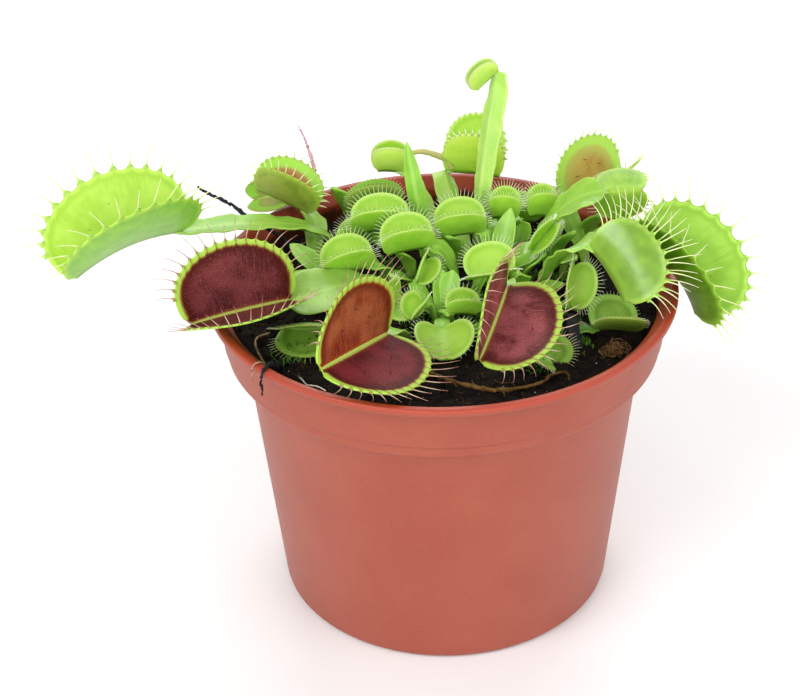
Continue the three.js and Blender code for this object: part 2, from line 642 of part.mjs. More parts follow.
const LEAVES = [
  {
    name: "west_pale_leaf",
    material: "lime",
    root: [-20, 20],
    stalk: { width: 7, rise: 10, arrive: 16, turn: 0 },
    trap: {
      at: [-50, 7.5, 74.5], heading: 214, pitch: 14, bend: 40, length: 23.5, depth: 14,
      open: [38, 31], cup: 20, teeth: 12, tooth: 7, curl: 20, over: 3,
    },
  },
  {
    name: "west_red_leaf",
    material: "red",
    root: [-10, 4],
    stalk: { width: 11, rise: 7, arrive: 6 },
    trap: {
      at: [-29, -9.5, 68], heading: 198, roll: 27, bend: 12, length: 18.5, depth: 14,
      open: [40, 40], cup: 20, teeth: 12, tooth: 5, over: 3,
    },
  },
  {
    name: "front_left_red_leaf",
    material: "red",
    root: [-7, -15],
    stalk: { width: 4, rise: 4, arrive: 4, turn: 0 },
    trap: {
      at: [-11, -23, 68.5], heading: 236, pitch: 10, roll: 50, bend: 6, length: 19, depth: 13.5,
      open: [52, 52], cup: 15, teeth: 11, tooth: 4.5, over: 3,
    },
  },
  {
    name: "front_right_red_leaf",
    material: "red",
    root: [9, -6],
    stalk: { width: 4, rise: 9, arrive: 3, turn: 0 },
    trap: {
      at: [11, -17, 74], heading: 252, pitch: -18, roll: 45, bend: 8, length: 16.5, depth: 12.5,
      open: [42, 42], cup: 20, teeth: 11, tooth: 4.5, over: 3,
    },
  },
  {
    name: "east_closed_leaf",
    material: "lime",
    root: [19, 1],
    stalk: { width: 7.5, rise: 9, arrive: 2, turn: -25 },
    trap: {
      at: [27, -12, 79.5], heading: 320, pitch: -34, roll: 47, bend: 20, length: 12, depth: 10.5,
      open: [12, 12], cup: 60, pinch: 4, teeth: 10, tooth: 5, curl: 40, over: 2, interlock: 0.25,
    },
  },
  {
    name: "east_pale_leaf",
    material: "lime",
    root: [24, 10],
    stalk: { width: 7, rise: 9, arrive: 6, turn: -25 },
    trap: {
      at: [38, 3, 71], heading: 322, pitch: -8, bend: 62, length: 18, depth: 13,
      open: [31, 31], cup: 20, teeth: 12, tooth: 6, curl: 20, over: 2,
    },
  },
  {
    name: "northeast_amber_leaf",
    material: "amber",
    root: [29, 14],
    stalk: { width: 4, rise: 4, arrive: 1.5, turn: 0 },
    trap: {
      at: [26, 23, 69], heading: 38, pitch: 14, roll: -12, bend: 12, length: 15, depth: 11,
      open: [30, 38], cup: 25, teeth: 11, tooth: 3, over: 1.5, rows: [],
    },
  },
  {
    name: "northeast_lime_leaf",
    material: "lime",
    root: [17, 13],
    stalk: { width: 8, rise: 8, arrive: 6, turn: -25 },
    trap: {
      at: [31, 8, 80], heading: 3, roll: 122, bend: 15, length: 7.5, depth: 7.5,
      open: [40, 40], cup: 30, teeth: 9, tooth: 3, over: 1.5, rows: [],
    },
  },
  {
    name: "northwest_leaf",
    material: "green",
    root: [-25, 13],
    stalk: { width: 5, rise: 4.5, lean: [-1, 5], arrive: 4, turn: 0, stem: 0.7 },
    trap: {
      at: [-26.5, 25.5, 68], heading: 167, pitch: 32, bend: 15, length: 11, depth: 8.5,
      open: [24, 24], cup: 25, teeth: 10, tooth: 2.5, over: 2, rows: [],
    },
  },
  {
    name: "northwest_low_leaf",
    material: "amber",
    root: [-25, 27],
    stalk: { width: 3, rise: 4, arrive: 1, turn: 0, stem: 0.6, neck: 0.6 },
    trap: {
      ...YOUNG, at: [-30, 33, 68.5], heading: 185, pitch: -5, roll: 55, length: 7.5, depth: 6,
      open: [35, 35], teeth: 7, tooth: 1,
    },
  },
  {
    name: "strap_leaf",
    material: "lime",
    root: [8, 20],
    stalk: { stem: 1.5, width: 5, widest: 0.6, rise: 22, arrive: 2, turn: 0, neck: 0.9 },
    trap: {
      at: [12, 28, 97], heading: 193, pitch: -34, bend: 10, length: 5.5, depth: 3.8,
      open: [15, 15], cup: 40, pinch: 0, curl: 5, teeth: 5, tooth: 0.5, over: 1, rows: [],
    },
  },
  {
    name: "back_pale_leaf",
    material: "lime",
    root: [6, 14],
    stalk: { width: 5, rise: 5, arrive: 2, turn: 0, neck: 0.8 },
    trap: {
      at: [2, 35, 72], heading: 355, roll: 13, bend: 10, length: 11, depth: 14,
      open: [45, 45], cup: 20, teeth: 11, tooth: 1.2, over: 1, rows: [],
    },
  },
  {
    name: "back_bud_leaf",
    material: "lime",
    root: [0, 22],
    stalk: { width: 4, rise: 5, arrive: 2.5, turn: 0 },
    trap: {
      ...YOUNG, at: [-7, 32, 73.5], heading: 180, pitch: 16, bend: 20, length: 5, depth: 6,
      open: [18, 18], cup: 40, teeth: 7, tooth: 0.5,
    },
  },
  {
    name: "back_grey_leaf",
    material: "deepGreen",
    root: [-6, 23],
    stalk: { ...YOUNG_STALK, rise: 3 },
    trap: {
      ...YOUNG, at: [-8, 28, 68], heading: 178, pitch: 3, bend: 25, length: 9, depth: 5.5,
      open: [15, 15], cup: 40, teeth: 8, tooth: 1,
    },
  },
  {
    name: "rear_leaf_left",
    material: "green",
    root: [-9, 20],
    stalk: { ...YOUNG_STALK, rise: 1.5 },
    trap: { ...YOUNG, at: [-13, 23, 62.8], heading: 175, pitch: 5, length: 6, depth: 4.5 },
  },
  {
    name: "rear_leaf_right",
    material: "green",
    root: [10, 26],
    stalk: { ...YOUNG_STALK, rise: 1.5 },
    trap: { ...YOUNG, at: [13, 28, 63], heading: 10, pitch: 8, length: 7, depth: 6 },
  },
  {
    name: "young_leaf_1",
    material: "lime",
    root: [1, 9.5],
    stalk: { ...YOUNG_STALK, rise: 4, turn: 25 },
    trap: { ...YOUNG, at: [-7, 15, 69.5], heading: 178, pitch: 5 },
  },
  {
    name: "young_leaf_2",
    material: "lime",
    root: [3, 4.5],
    stalk: { ...YOUNG_STALK, width: 4.5, turn: 20 },
    trap: { ...YOUNG, at: [-2, 7, 69.8], heading: 188, pitch: 5, length: 8.5, over: 1 },
  },
  {
    name: "young_leaf_3",
    material: "lime",
    root: [9.5, 9.5],
    stalk: { ...YOUNG_STALK, turn: 25 },
    trap: { ...YOUNG, at: [8, 12, 70], heading: 180, pitch: 3, length: 7.5 },
  },
  {
    name: "young_leaf_4",
    material: "lime",
    root: [-11, 8],
    stalk: { ...YOUNG_STALK, rise: 4 },
    trap: { ...YOUNG, at: [-13.5, 5, 67], heading: 192, length: 8.5, over: 1 },
  },
  {
    name: "young_leaf_5",
    material: "lime",
    root: [14, 13],
    stalk: YOUNG_STALK,
    trap: { ...YOUNG, at: [15, 17, 70], heading: 174, pitch: 15, length: 4.5, over: 0.8, depth: 6, open: [20, 20] },
  },
  {
    name: "young_leaf_6",
    material: "lime",
    root: [21, 15],
    stalk: { ...YOUNG_STALK, arrive: 1.5 },
    trap: { ...YOUNG, at: [22.5, 18, 70], heading: 185, pitch: 15, length: 4.5, over: 0.8, depth: 6, open: [20, 20] },
  },
  {
    name: "young_leaf_7",
    material: "lime",
    root: [14, 1],
    stalk: YOUNG_STALK,
    trap: { ...YOUNG, at: [13, -3, 69.5], heading: 183, roll: 15, length: 7.5, depth: 6, open: [45, 45] },
  },
  {
    name: "young_leaf_8",
    material: "lime",
    root: [11, 4],
    stalk: { ...YOUNG_STALK, turn: -30 },
    trap: {
      ...YOUNG, at: [18, 4.5, 70.5], heading: 15, pitch: 48, roll: -60, length: 5, depth: 4, open: [26, 26],
      teeth: 8,
    },
  },
  {
    name: "young_leaf_9",
    material: "lime",
    root: [23, -5],
    stalk: YOUNG_STALK,
    trap: {
      ...YOUNG, at: [23.5, -9, 66], heading: 60, pitch: 60, roll: -50, length: 6.5, depth: 5, open: [40, 40],
    },
  },
  {
    name: "soil_leaf_east",
    material: "deepGreen",
    root: [21, -14],
    stalk: { ...YOUNG_STALK, rise: 1.5, arrive: 4 },
    trap: {
      ...YOUNG, at: [28, -13, 62.5], heading: 8, roll: 10, open: [55, 55], depth: 7.5, length: 8, over: 1,
      tooth: 1.2,
    },
  },
  {
    name: "soil_leaf_south",
    material: "deepGreen",
    root: [13, -17],
    stalk: { ...YOUNG_STALK, rise: 1.5, arrive: 2 },
    trap: {
      ...YOUNG, at: [16, -20, 62.3], heading: 310, roll: 0, open: [60, 60], depth: 5.5, length: 6, teeth: 7,
    },
  },
  {
    name: "soil_leaf_west",
    material: "deepGreen",
    root: [-16, -9],
    stalk: { ...YOUNG_STALK, rise: 1.5, arrive: 3 },
    trap: { ...YOUNG, at: [-21, -10, 62.7], heading: 187, roll: 76, open: [20, 20], depth: 9, tooth: 2.2 },
  },
].map(completed);

// Young leaves in the middle, which all grow from one rhizome.
const CENTRE_ROSETTE = {
  crown: { at: [0, -7], radius: 2.4 },
  leaves: [
    { root: [-1.2, -5.8], trap: { at: [-5, 0, 66], heading: 60, pitch: 30, roll: -50, length: 5, depth: 4.2 } },
    { root: [1.5, -7.3], trap: { at: [1, -10, 65], heading: 10, length: 5, depth: 4.5 } },
    { root: [0.1, -8.7], trap: { at: [-0.5, -14.5, 63.8], heading: 274, length: 8, depth: 6.2, open: [62, 62], teeth: 7 } },
    { root: [-1.6, -7.2], trap: { at: [-4, -8, 65.5], heading: 240, length: 4.5, depth: 4, open: [35, 35] } },
    { root: [-1.4, -6.5], trap: { at: [-8, -4, 65], heading: 255, roll: 40, depth: 5.5, open: [50, 50] } },
  ].map((leaf) =>
    completed({ stalk: { ...SMALL_STALK, turn: 0 }, ...leaf, trap: { ...SMALL, ...leaf.trap } }),
  ),
  blades: [
    { root: [0.9, -5.6], tip: [2, -2, 69.5], width: 3.5, rise: 7, sag: 1 },
    { root: [-0.2, -6.1], tip: [0, 1, 68], width: 3, rise: 4, sag: 1 },
  ],
};

// Leaves that have not made a trap yet.
const BLADES = [
  { name: "middle_blade_low", root: [6.5, 1], tip: [9, 1.5, 67.5], width: 5, rise: 4, sag: 1 },
  { name: "middle_blade_left", root: [-5, 4.5], tip: [-10, 1, 67], width: 4, rise: 4, sag: 1 },
  { name: "east_blade_low", root: [17.5, -9.5], tip: [20, -14.5, 65.5], width: 4, rise: 3, sag: 1 },
  { name: "east_blade_back", root: [20, 8], tip: [26, 2, 69], width: 5, rise: 4, sag: 1 },
  { name: "west_blade_low", root: [-22.5, 8], tip: [-29.5, 12.5, 68], width: 4.5, rise: 3, sag: 1 },
  { name: "west_blade_back", root: [-16.5, 14], tip: [-20, 17, 68.5], width: 5, rise: 4, sag: 1 },
  { name: "south_blade", root: [4, -13.5], tip: [8, -15, 64.5], width: 4, rise: 2, sag: 0.5 },
  { name: "west_blade", root: [-13, 3], tip: [-30, 6, 65], width: 4, rise: 3, sag: 1.5 },
  { name: "north_blade", root: [-3, 18], tip: [-6, 24, 84], width: 3, rise: 8, faces: 0 },
  { name: "middle_blade", root: [11, 7], tip: [14, 14, 74], width: 4, rise: 6 },
  { name: "east_blade", root: [15, -4], tip: [23, -4, 67], width: 4, rise: 5, sag: 1 },
];

// ---------------------------------------------------------------- assembly

const plant = new THREE.Group();

function add(name, solid, material) {
  const mesh = new THREE.Mesh(geometryOf(solid), MATERIALS[material]);
  mesh.name = name;
  plant.add(mesh);
}

const holes = [
  ...LEAVES.map(({ root, stalk }) => stemHole(root, stalk.stem + SOIL.holeGap)),
  ...BLADES.map(({ root }) => stemHole(root, 0.7 + SOIL.holeGap)),
  stemHole(CENTRE_ROSETTE.crown.at, CENTRE_ROSETTE.crown.radius + SOIL.holeGap),
  stemHole([-29, 22], 0.5 + SOIL.holeGap),
];

add("pot", potSolid(), "pot");
add("soil", soilSolid(holes), "soil");
for (const leaf of LEAVES) add(leaf.name, leafSolid(leaf), leaf.material);
for (const blade of BLADES) add(blade.name, bladeSolid(blade), "green");
add(
  "centre_rosette",
  fuse([
    crownSolid(CENTRE_ROSETTE.crown.at, CENTRE_ROSETTE.crown.radius),
    ...CENTRE_ROSETTE.leaves.flatMap((leaf) => [stalkSolid(leaf), trapSolid(leaf.trap)]),
    ...CENTRE_ROSETTE.blades.map(bladeSolid),
  ]),
  "lime",
);
add(
  "dead_stalk",
  stemSolid(
    [[-29, 22, SOIL.level - ROOT_DEPTH], [-29, 22, SOIL.level], [-33, 22, 65.5], [-38, 24, 67.8],
      [-42, 28, 69], [-49, 33, 70.5]],
    0.5,
    10,
  ),
  "dead",
);
add("surface_root", stemSolid([[-3, -26, 61.8], [3, -30, 61.8], [9, -32, 61.7], [16, -30.5, 61.7], [21, -27, 61.6]], 0.6, 10), "root");
add("dead_trap", trapSolid({ ...TRAP_DEFAULTS, ...SMALL, at: [25, -18, 61.8], heading: 110, pitch: 50, roll: 60, length: 5, depth: 4, open: [12, 12], cup: 50, tooth: 0.8 }), "dead");
add("moss_tangle", tangleSolid([31, -20.5, 62.4], [3, 2, 1.3], 3), "root");

export default plant;
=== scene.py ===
"""Potted Venus flytrap: fine leaves, peat and pot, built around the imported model.

Lengths in the classes are millimetres, as in the part's own source. They turn to metres where a mesh is made.
+X is east, +Y is north, +Z is up, and the origin is the centre of the pot's underside.
"""

import logging
import math
from dataclasses import dataclass, field, replace
from enum import IntEnum

import bmesh
import bpy
import numpy as np
from mathutils import Matrix


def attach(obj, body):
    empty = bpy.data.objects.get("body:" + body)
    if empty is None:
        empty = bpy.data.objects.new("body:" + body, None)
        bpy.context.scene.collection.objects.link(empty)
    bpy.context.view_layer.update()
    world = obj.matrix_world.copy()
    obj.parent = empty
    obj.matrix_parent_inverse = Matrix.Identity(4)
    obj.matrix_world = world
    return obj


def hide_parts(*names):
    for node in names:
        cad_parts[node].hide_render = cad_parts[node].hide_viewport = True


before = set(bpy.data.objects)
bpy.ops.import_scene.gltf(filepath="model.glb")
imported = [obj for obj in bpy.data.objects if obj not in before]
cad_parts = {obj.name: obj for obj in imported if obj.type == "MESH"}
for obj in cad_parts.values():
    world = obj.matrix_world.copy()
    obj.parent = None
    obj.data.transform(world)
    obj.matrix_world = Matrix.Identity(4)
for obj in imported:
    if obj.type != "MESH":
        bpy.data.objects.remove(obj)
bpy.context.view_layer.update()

logging.basicConfig(level=logging.INFO, format="%(message)s")
log = logging.getLogger("flytrap")

MM = 0.001  # metres in a millimetre
ROOT = "root"  # the one body of a part that has no joints
TISSUE_IOR = 1.42  # wet plant tissue
PLASTIC_IOR = 1.49  # polypropylene
UP = np.array([0.0, 0.0, 1.0])
EAST = np.array([1.0, 0.0, 0.0])

Point = tuple[float, float, float]
Span = tuple[float, float]
Tone = str | bpy.types.NodeSocket  # a hex colour, or a colour that other nodes make
SMOOTH = {"interpolation_type": "SMOOTHSTEP"}
PAINTED_GLINT = "#d0a8a8"  # a painted highlight: the sparkle of the moist glands on a red lobe, painted into the colour


# ---------------------------------------------------------------- small maths


def unit(v: np.ndarray) -> np.ndarray:
    """Vectors of length one along the last axis."""
    return v / np.maximum(np.linalg.norm(v, axis=-1, keepdims=True), 1e-9)


def smooth(low: float, high: float, x: np.ndarray) -> np.ndarray:
    """A smooth step from 0 at low to 1 at high."""
    s = np.clip((x - low) / (high - low), 0.0, 1.0)
    return s * s * (3 - 2 * s)


def bezier(knots: np.ndarray, s: np.ndarray) -> np.ndarray:
    """Points of a cubic Bezier curve.

    Args:
        knots: its four control points, one a row.
        s: shares of the curve, from 0 to 1.

    Returns:
        One point for each share.
    """
    s = s[:, None]
    return (
        (1 - s) ** 3 * knots[0]
        + 3 * s * (1 - s) ** 2 * knots[1]
        + 3 * s * s * (1 - s) * knots[2]
        + s**3 * knots[3]
    )


def through(points: list[Point], count: int) -> np.ndarray:
    """A smooth path through the points, as a Catmull-Rom curve.

    Args:
        points: the points that it passes.
        count: how many points the path has.

    Returns:
        The path, one point a row.
    """
    p = np.array(points, float)
    p = np.vstack([2 * p[0] - p[1], p, 2 * p[-1] - p[-2]])
    at = np.linspace(0, len(p) - 3 - 1e-6, count)
    i = at.astype(int)
    s = (at - i)[:, None]
    a, b, c, d = p[i], p[i + 1], p[i + 2], p[i + 3]
    return 0.5 * (2 * b + (c - a) * s + (2 * a - 5 * b + 4 * c - d) * s**2 + (3 * b - a - 3 * c + d) * s**3)


def tangents(path: np.ndarray) -> np.ndarray:
    """The way that a path runs at each of its points."""
    return unit(np.gradient(path, axis=0))


def bearing(a: np.ndarray | float) -> np.ndarray:
    """Level vectors of length one at angles a from east."""
    return np.stack([np.cos(a), np.sin(a), 0 * np.asarray(a)], axis=-1)


def level_across(start: np.ndarray, end: np.ndarray) -> np.ndarray:
    """The level way square to the line from one point to another."""
    return unit(np.array([start[1] - end[1], end[0] - start[0], 0.0]))


def facing(x: np.ndarray, y: np.ndarray, z: np.ndarray, at: Point) -> Matrix:
    """The pose of an object at a point in mm, with its own axes along x, y and z."""
    return Matrix([[x[i], y[i], z[i], at[i] * MM] for i in range(3)] + [[0, 0, 0, 1]])


# ---------------------------------------------------------------- meshes in the making


class Face(IntEnum):
    """The surfaces of a leaf, in the order of its material slots."""

    INNER_LEFT = 0
    INNER_RIGHT = 1
    OUTER = 2
    STALK = 3
    CILIUM = 4
    TRIGGER = 5


MARKS = "leaf_mm"  # the vertex attribute: run, height and distance from the edge, in mm


@dataclass
class Sheet:
    """A mesh in the making, in millimetres, with three marks a point for its material to read."""

    points: list[np.ndarray] = field(default_factory=list)
    marks: list[np.ndarray] = field(default_factory=list)
    faces: list[tuple[int, ...]] = field(default_factory=list)
    slots: list[int] = field(default_factory=list)
    count: int = 0

    def add_points(self, points: np.ndarray, marks: np.ndarray | float = 0.0) -> np.ndarray:
        """Adds points.

        Args:
            points: an array of points, of any shape that ends in 3.
            marks: their marks, of the same shape, or one number for all.

        Returns:
            The points' numbers, in the same shape without its last axis.
        """
        shape = points.shape[:-1]
        self.points.append(points.reshape(-1, 3))
        self.marks.append(np.broadcast_to(marks, points.shape).reshape(-1, 3))
        numbers = np.arange(self.count, self.count + int(np.prod(shape))).reshape(shape)
        self.count += numbers.size
        return numbers

    def add_faces(self, corners: np.ndarray, slot: int) -> None:
        """Adds faces, given as rows of point numbers, in one material slot."""
        self.faces.extend(map(tuple, corners.reshape(-1, corners.shape[-1]).tolist()))
        self.slots.extend([int(slot)] * (corners.size // corners.shape[-1]))

    def add_grid(self, rows: np.ndarray, slot: int, closed: bool = False) -> None:
        """Joins rows of point numbers by quads.

        Args:
            rows: the point numbers.
            slot: the material slot.
            closed: whether the last column joins the first.
        """
        if closed:
            rows = np.concatenate([rows, rows[:, :1]], axis=1)
        quads = np.stack([rows[:-1, :-1], rows[:-1, 1:], rows[1:, 1:], rows[1:, :-1]], axis=-1)
        self.add_faces(quads, slot)

    def add_tube(
        self,
        path: np.ndarray,
        half: np.ndarray | float,
        across: np.ndarray,
        slot: int = 0,
        sides: int = 6,
        marks: np.ndarray | float = 0.0,
    ) -> None:
        """Adds a closed tube with elliptical sections along a path.

        Args:
            path: its centre line, one point a row.
            half: half width and half thickness at each point, or one number where both are the same.
            across: the way that the width lies, as one vector or one a point.
            slot: its material slot.
            sides: how many sides a section has.
            marks: three marks at each point, or one number for all.
        """
        half = np.broadcast_to(half, (len(path), 2))
        marks = np.broadcast_to(marks, path.shape)
        along = tangents(path)
        wide = np.broadcast_to(across, path.shape)
        wide = unit(wide - along * np.sum(wide * along, axis=1, keepdims=True))
        thick = np.cross(along, wide)
        turn = np.arange(sides) * 2 * math.pi / sides
        ring = (
            path[:, None]
            + wide[:, None] * (half[:, :1, None] * np.cos(turn)[None, :, None])
            + thick[:, None] * (half[:, 1:, None] * np.sin(turn)[None, :, None])
        )
        rows = self.add_points(ring, np.repeat(marks[:, None], sides, axis=1))
        self.add_grid(rows, slot, closed=True)
        self.add_faces(rows[0][None, :], slot)
        self.add_faces(rows[-1][None, :], slot)

    def to_object(
        self, name: str, materials: list[bpy.types.Material], weld: float = 0.0
    ) -> bpy.types.Object:
        """Makes the mesh and links it to the scene.

        Args:
            name: the object's name.
            materials: its materials, in slot order.
            weld: points nearer than this become one, in mm.

        Returns:
            The object, with smooth shading and faces that point out.
        """
        mesh = bpy.data.meshes.new(name)
        mesh.from_pydata((np.concatenate(self.points) * MM).tolist(), [], self.faces)
        mesh.attributes.new(MARKS, "FLOAT_VECTOR", "POINT")
        marks = np.concatenate(self.marks).astype(np.float32).ravel()
        mesh.attributes[MARKS].data.foreach_set("vector", marks)
        mesh.polygons.foreach_set("material_index", self.slots)
        work = bmesh.new()
        work.from_mesh(mesh)
        if weld:
            bmesh.ops.remove_doubles(work, verts=work.verts, dist=weld * MM)
        bmesh.ops.recalc_face_normals(work, faces=work.faces)
        work.to_mesh(mesh)
        work.free()
        mesh.polygons.foreach_set("use_smooth", [True] * len(mesh.polygons))
        for material in materials:
            mesh.materials.append(material)
        made = bpy.data.objects.new(name, mesh)
        bpy.context.scene.collection.objects.link(made)
        return made


def seat(piece: bpy.types.Object, slot: str, *nodes: str) -> bpy.types.Object:
    """Makes a piece ride on the part's one body.

    Args:
        piece: the finished object.
        slot: the record's slot that stands for it; not used.
        *nodes: the CAD nodes that it replaces, if any.

    Returns:
        The same piece.
    """
    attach(piece, ROOT)
    if nodes:
        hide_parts(*nodes)
    log.info("%s: %d faces", piece.name, len(piece.data.polygons))
    return piece


# ---------------------------------------------------------------- finishes


def linear(colour: str) -> tuple[float, float, float, float]:
    """An sRGB hex colour as linear RGBA."""
    parts = (int(colour[i : i + 2], 16) / 255 for i in (1, 3, 5))
    return *(c / 12.92 if c <= 0.04045 else ((c + 0.055) / 1.055) ** 2.4 for c in parts), 1.0


def per_mm(size: float) -> float:
    """The scale of a texture in metres whose features are this many millimetres apart."""
    return 1 / (size * MM)


class Weave:
    """A material in the making, with one Principled shader."""

    def __init__(self, name: str) -> None:
        """Starts a material with its shader, its output and the object's own coordinates.

        Args:
            name: what the material is called.
        """
        self.material = bpy.data.materials.new(name)
        self.material.use_nodes = True
        self.tree = self.material.node_tree
        self.tree.nodes.clear()
        surface = self.add("BsdfPrincipled")
        self.shader = surface.node
        self.add("OutputMaterial", {"Surface": surface})
        self.place = self.add("TexCoord", out="Object")

    def add(
        self, kind: str, inputs: dict[str | int, object] | None = None, out: str | int = 0, **settings: object
    ) -> bpy.types.NodeSocket | None:
        """Adds a node with its settings and links.

        Args:
            kind: the node's type name, after ShaderNode.
            inputs: a value, a hex colour or another node's output for each input, by its name or number.
            out: the name or number of the output that is wanted.
            **settings: the node's own properties.

        Returns:
            That output, or None from a node that has none.
        """
        node = self.tree.nodes.new("ShaderNode" + kind)
        for name, value in settings.items():
            setattr(node, name, value)
        self.feed(node, inputs or {})
        return node.outputs[out] if node.outputs else None

    def feed(self, node: bpy.types.Node, inputs: dict[str | int, object]) -> None:
        """Links or sets a node's inputs.

        Args:
            node: the node.
            inputs: what each input gets, as in add.
        """
        for key, value in inputs.items():
            if isinstance(value, bpy.types.NodeSocket):
                self.tree.links.new(value, node.inputs[key])
            else:
                node.inputs[key].default_value = linear(value) if isinstance(value, str) else value

    def coat(
        self,
        tone: Tone,
        colour: Tone,
        value: bpy.types.NodeSocket,
        low: float,
        high: float,
        share: Span = (0.0, 1.0),
    ) -> bpy.types.NodeSocket:
        """Lays a colour over a tone, by a smooth step of a value.

        Args:
            tone: what is under it.
            colour: what covers it.
            value: what decides how much of it shows.
            low: where the step starts.
            high: where it ends.
            share: how much of the tone is covered at each.

        Returns:
            The new tone.
        """
        mask = self.add("MapRange", {0: value, 1: low, 2: high, 3: share[0], 4: share[1]}, **SMOOTH)
        return self.add("Mix", {0: mask, 6: tone, 7: colour}, 2, data_type="RGBA")

    def finish(self, **values: object) -> bpy.types.Material:
        """Feeds the shader's own sockets, named with _ for a space, and gives back the material."""
        self.feed(self.shader, {name.replace("_", " "): value for name, value in values.items()})
        return self.material


@dataclass(frozen=True)
class Plastic:
    """The pot: moulded polypropylene, with a matte bloom, and peat stains where it has been wet."""

    name: str
    colour: str
    bloom: str  # the chalky parts
    inside: str  # where the bloom has been washed off, also painted on the lip's top as its bright line of light
    stain: str
    roughness: float = 0.46
    # Where each part of the finish starts and ends. Heights and radii are in mm.
    lip_foot: float = 64.1
    wall_inside: Span = (41.95, 41.6)
    collar_inside: Span = (56.5, 58.0)
    lip_top: Span = (65.2, 65.8)
    tide: Span = (66.4, 64.6)
    foot_dirt: Span = (2.6, 1.8)
    dirty_side: Span = (-0.012, -0.02)  # in metres, to the west and north

    def material(self) -> bpy.types.Material:
        """The finish: cloudy tone, a grain of 0.4 mm, and stains on its foot and inside its rim.

        Returns:
            The material.
        """
        w = Weave(self.name)
        east, north, height = w.add("SeparateXYZ", {0: w.place}).node.outputs
        high = w.add("Math", {0: height, 1: MM}, operation="DIVIDE")
        flat = w.add("CombineXYZ", {0: east, 1: north})
        out = w.add("VectorMath", {0: flat}, "Value", operation="LENGTH")
        out = w.add("Math", {0: out, 1: MM}, operation="DIVIDE")
        cloud = w.add("TexNoise", {"Vector": w.place, "Scale": per_mm(14), "Detail": 4})
        grain = w.add("TexNoise", {"Vector": w.place, "Scale": per_mm(0.4)})
        tone = w.coat(self.colour, self.bloom, cloud, 0.35, 0.7, (0.0, 0.16))
        tone = w.coat(tone, self.bloom, grain, 0.35, 0.7, (0.0, 0.14))
        # The bloom is gone from the wall's inside, which widens under the lip, and from the lip, whose top is
        # also painted as a bright line of light.
        flare = w.add("Math", {0: high, 1: self.lip_foot}, operation="SUBTRACT")
        flare = w.add("Math", {0: flare, 1: 0.0}, operation="MAXIMUM")
        inner = w.add("Math", {0: out, 1: flare}, operation="SUBTRACT")
        inner = w.add("MapRange", {0: inner, 1: self.wall_inside[0], 2: self.wall_inside[1]}, **SMOOTH)
        above = w.add("MapRange", {0: high, 1: self.collar_inside[0], 2: self.collar_inside[1]}, **SMOOTH)
        washed = w.add("Math", {0: inner, 1: above}, operation="MULTIPLY")
        # Painted highlight: the lip's top takes the saturated inside colour as a thin bright line, over
        # plastic that has no bloom.
        lip = w.add("MapRange", {0: high, 1: self.lip_top[0], 2: self.lip_top[1]}, **SMOOTH)
        unbloomed_and_lit = w.add("Math", {0: washed, 1: lip}, operation="MAXIMUM")
        tone = w.add("Mix", {0: unbloomed_and_lit, 6: tone, 7: self.inside}, 2, data_type="RGBA")
        # Peat stains the wall's inside up to a ragged line, and dirt clings to one side of the foot.
        tide = w.add("TexNoise", {"Vector": w.place, "Scale": per_mm(2.2), "Detail": 4})
        tide = w.add("Math", {0: tide, 1: 5.0, 2: high}, operation="MULTIPLY_ADD")
        tide = w.add("MapRange", {0: tide, 1: self.tide[0], 2: self.tide[1], 4: 0.8}, **SMOOTH)
        wet = w.add("Math", {0: washed, 1: tide}, operation="MULTIPLY")
        side = w.add("Math", {0: north, 1: -0.6, 2: east}, operation="MULTIPLY_ADD")
        side = w.add("MapRange", {0: side, 1: self.dirty_side[0], 2: self.dirty_side[1]}, **SMOOTH)
        ragged = w.add("TexNoise", {"Vector": w.place, "Scale": per_mm(1.5)})
        ragged = w.add("Math", {0: high, 1: ragged})
        ragged = w.add("MapRange", {0: ragged, 1: self.foot_dirt[0], 2: self.foot_dirt[1]}, **SMOOTH)
        specks = w.add("TexNoise", {"Vector": w.place, "Scale": per_mm(3)})
        specks = w.add("MapRange", {0: specks, 1: 0.5, 2: 0.56, 4: 0.85}, **SMOOTH)
        foot = w.add("Math", {0: side, 1: ragged}, operation="MULTIPLY")
        foot = w.add("Math", {0: foot, 1: specks}, operation="MULTIPLY")
        dirt = w.add("Math", {0: wet, 1: foot}, operation="MAXIMUM")
        tone = w.add("Mix", {0: dirt, 6: tone, 7: self.stain}, 2, data_type="RGBA")
        pits = w.add("TexNoise", {"Vector": w.place, "Scale": per_mm(1.2)})
        pits = w.add("Math", {0: grain, 1: pits})
        normal = w.add("Bump", {"Height": pits, "Distance": 0.05 * MM})
        return w.finish(Base_Color=tone, Roughness=self.roughness, IOR=PLASTIC_IOR, Normal=normal)


@dataclass(frozen=True)
class Earth:
    """Dead matter, from peat to bark: dry, dark and rough, in two tones."""

    name: str
    dark: str
    light: str
    grain_mm: float = 0.8
    roughness: float = 0.9
    relief: float = 0.25

    def material(self) -> bpy.types.Material:
        """The finish: clumps in two tones, over a finer grain that also roughens the surface.

        Returns:
            The material.
        """
        w = Weave(self.name)
        fine = w.add("TexNoise", {"Vector": w.place, "Scale": per_mm(self.grain_mm), "Detail": 4})
        clumps = w.add("TexNoise", {"Vector": w.place, "Scale": per_mm(self.grain_mm * 4), "Detail": 3})
        tone = w.coat(self.dark, self.light, clumps, 0.35, 0.7, (0.0, 0.6))
        tone = w.coat(tone, self.light, fine, 0.5, 0.75, (0.0, 0.7))
        normal = w.add("Bump", {"Height": fine, "Distance": self.relief * MM})
        return w.finish(Base_Color=tone, Roughness=self.roughness, Specular_IOR_Level=0.2, Normal=normal)


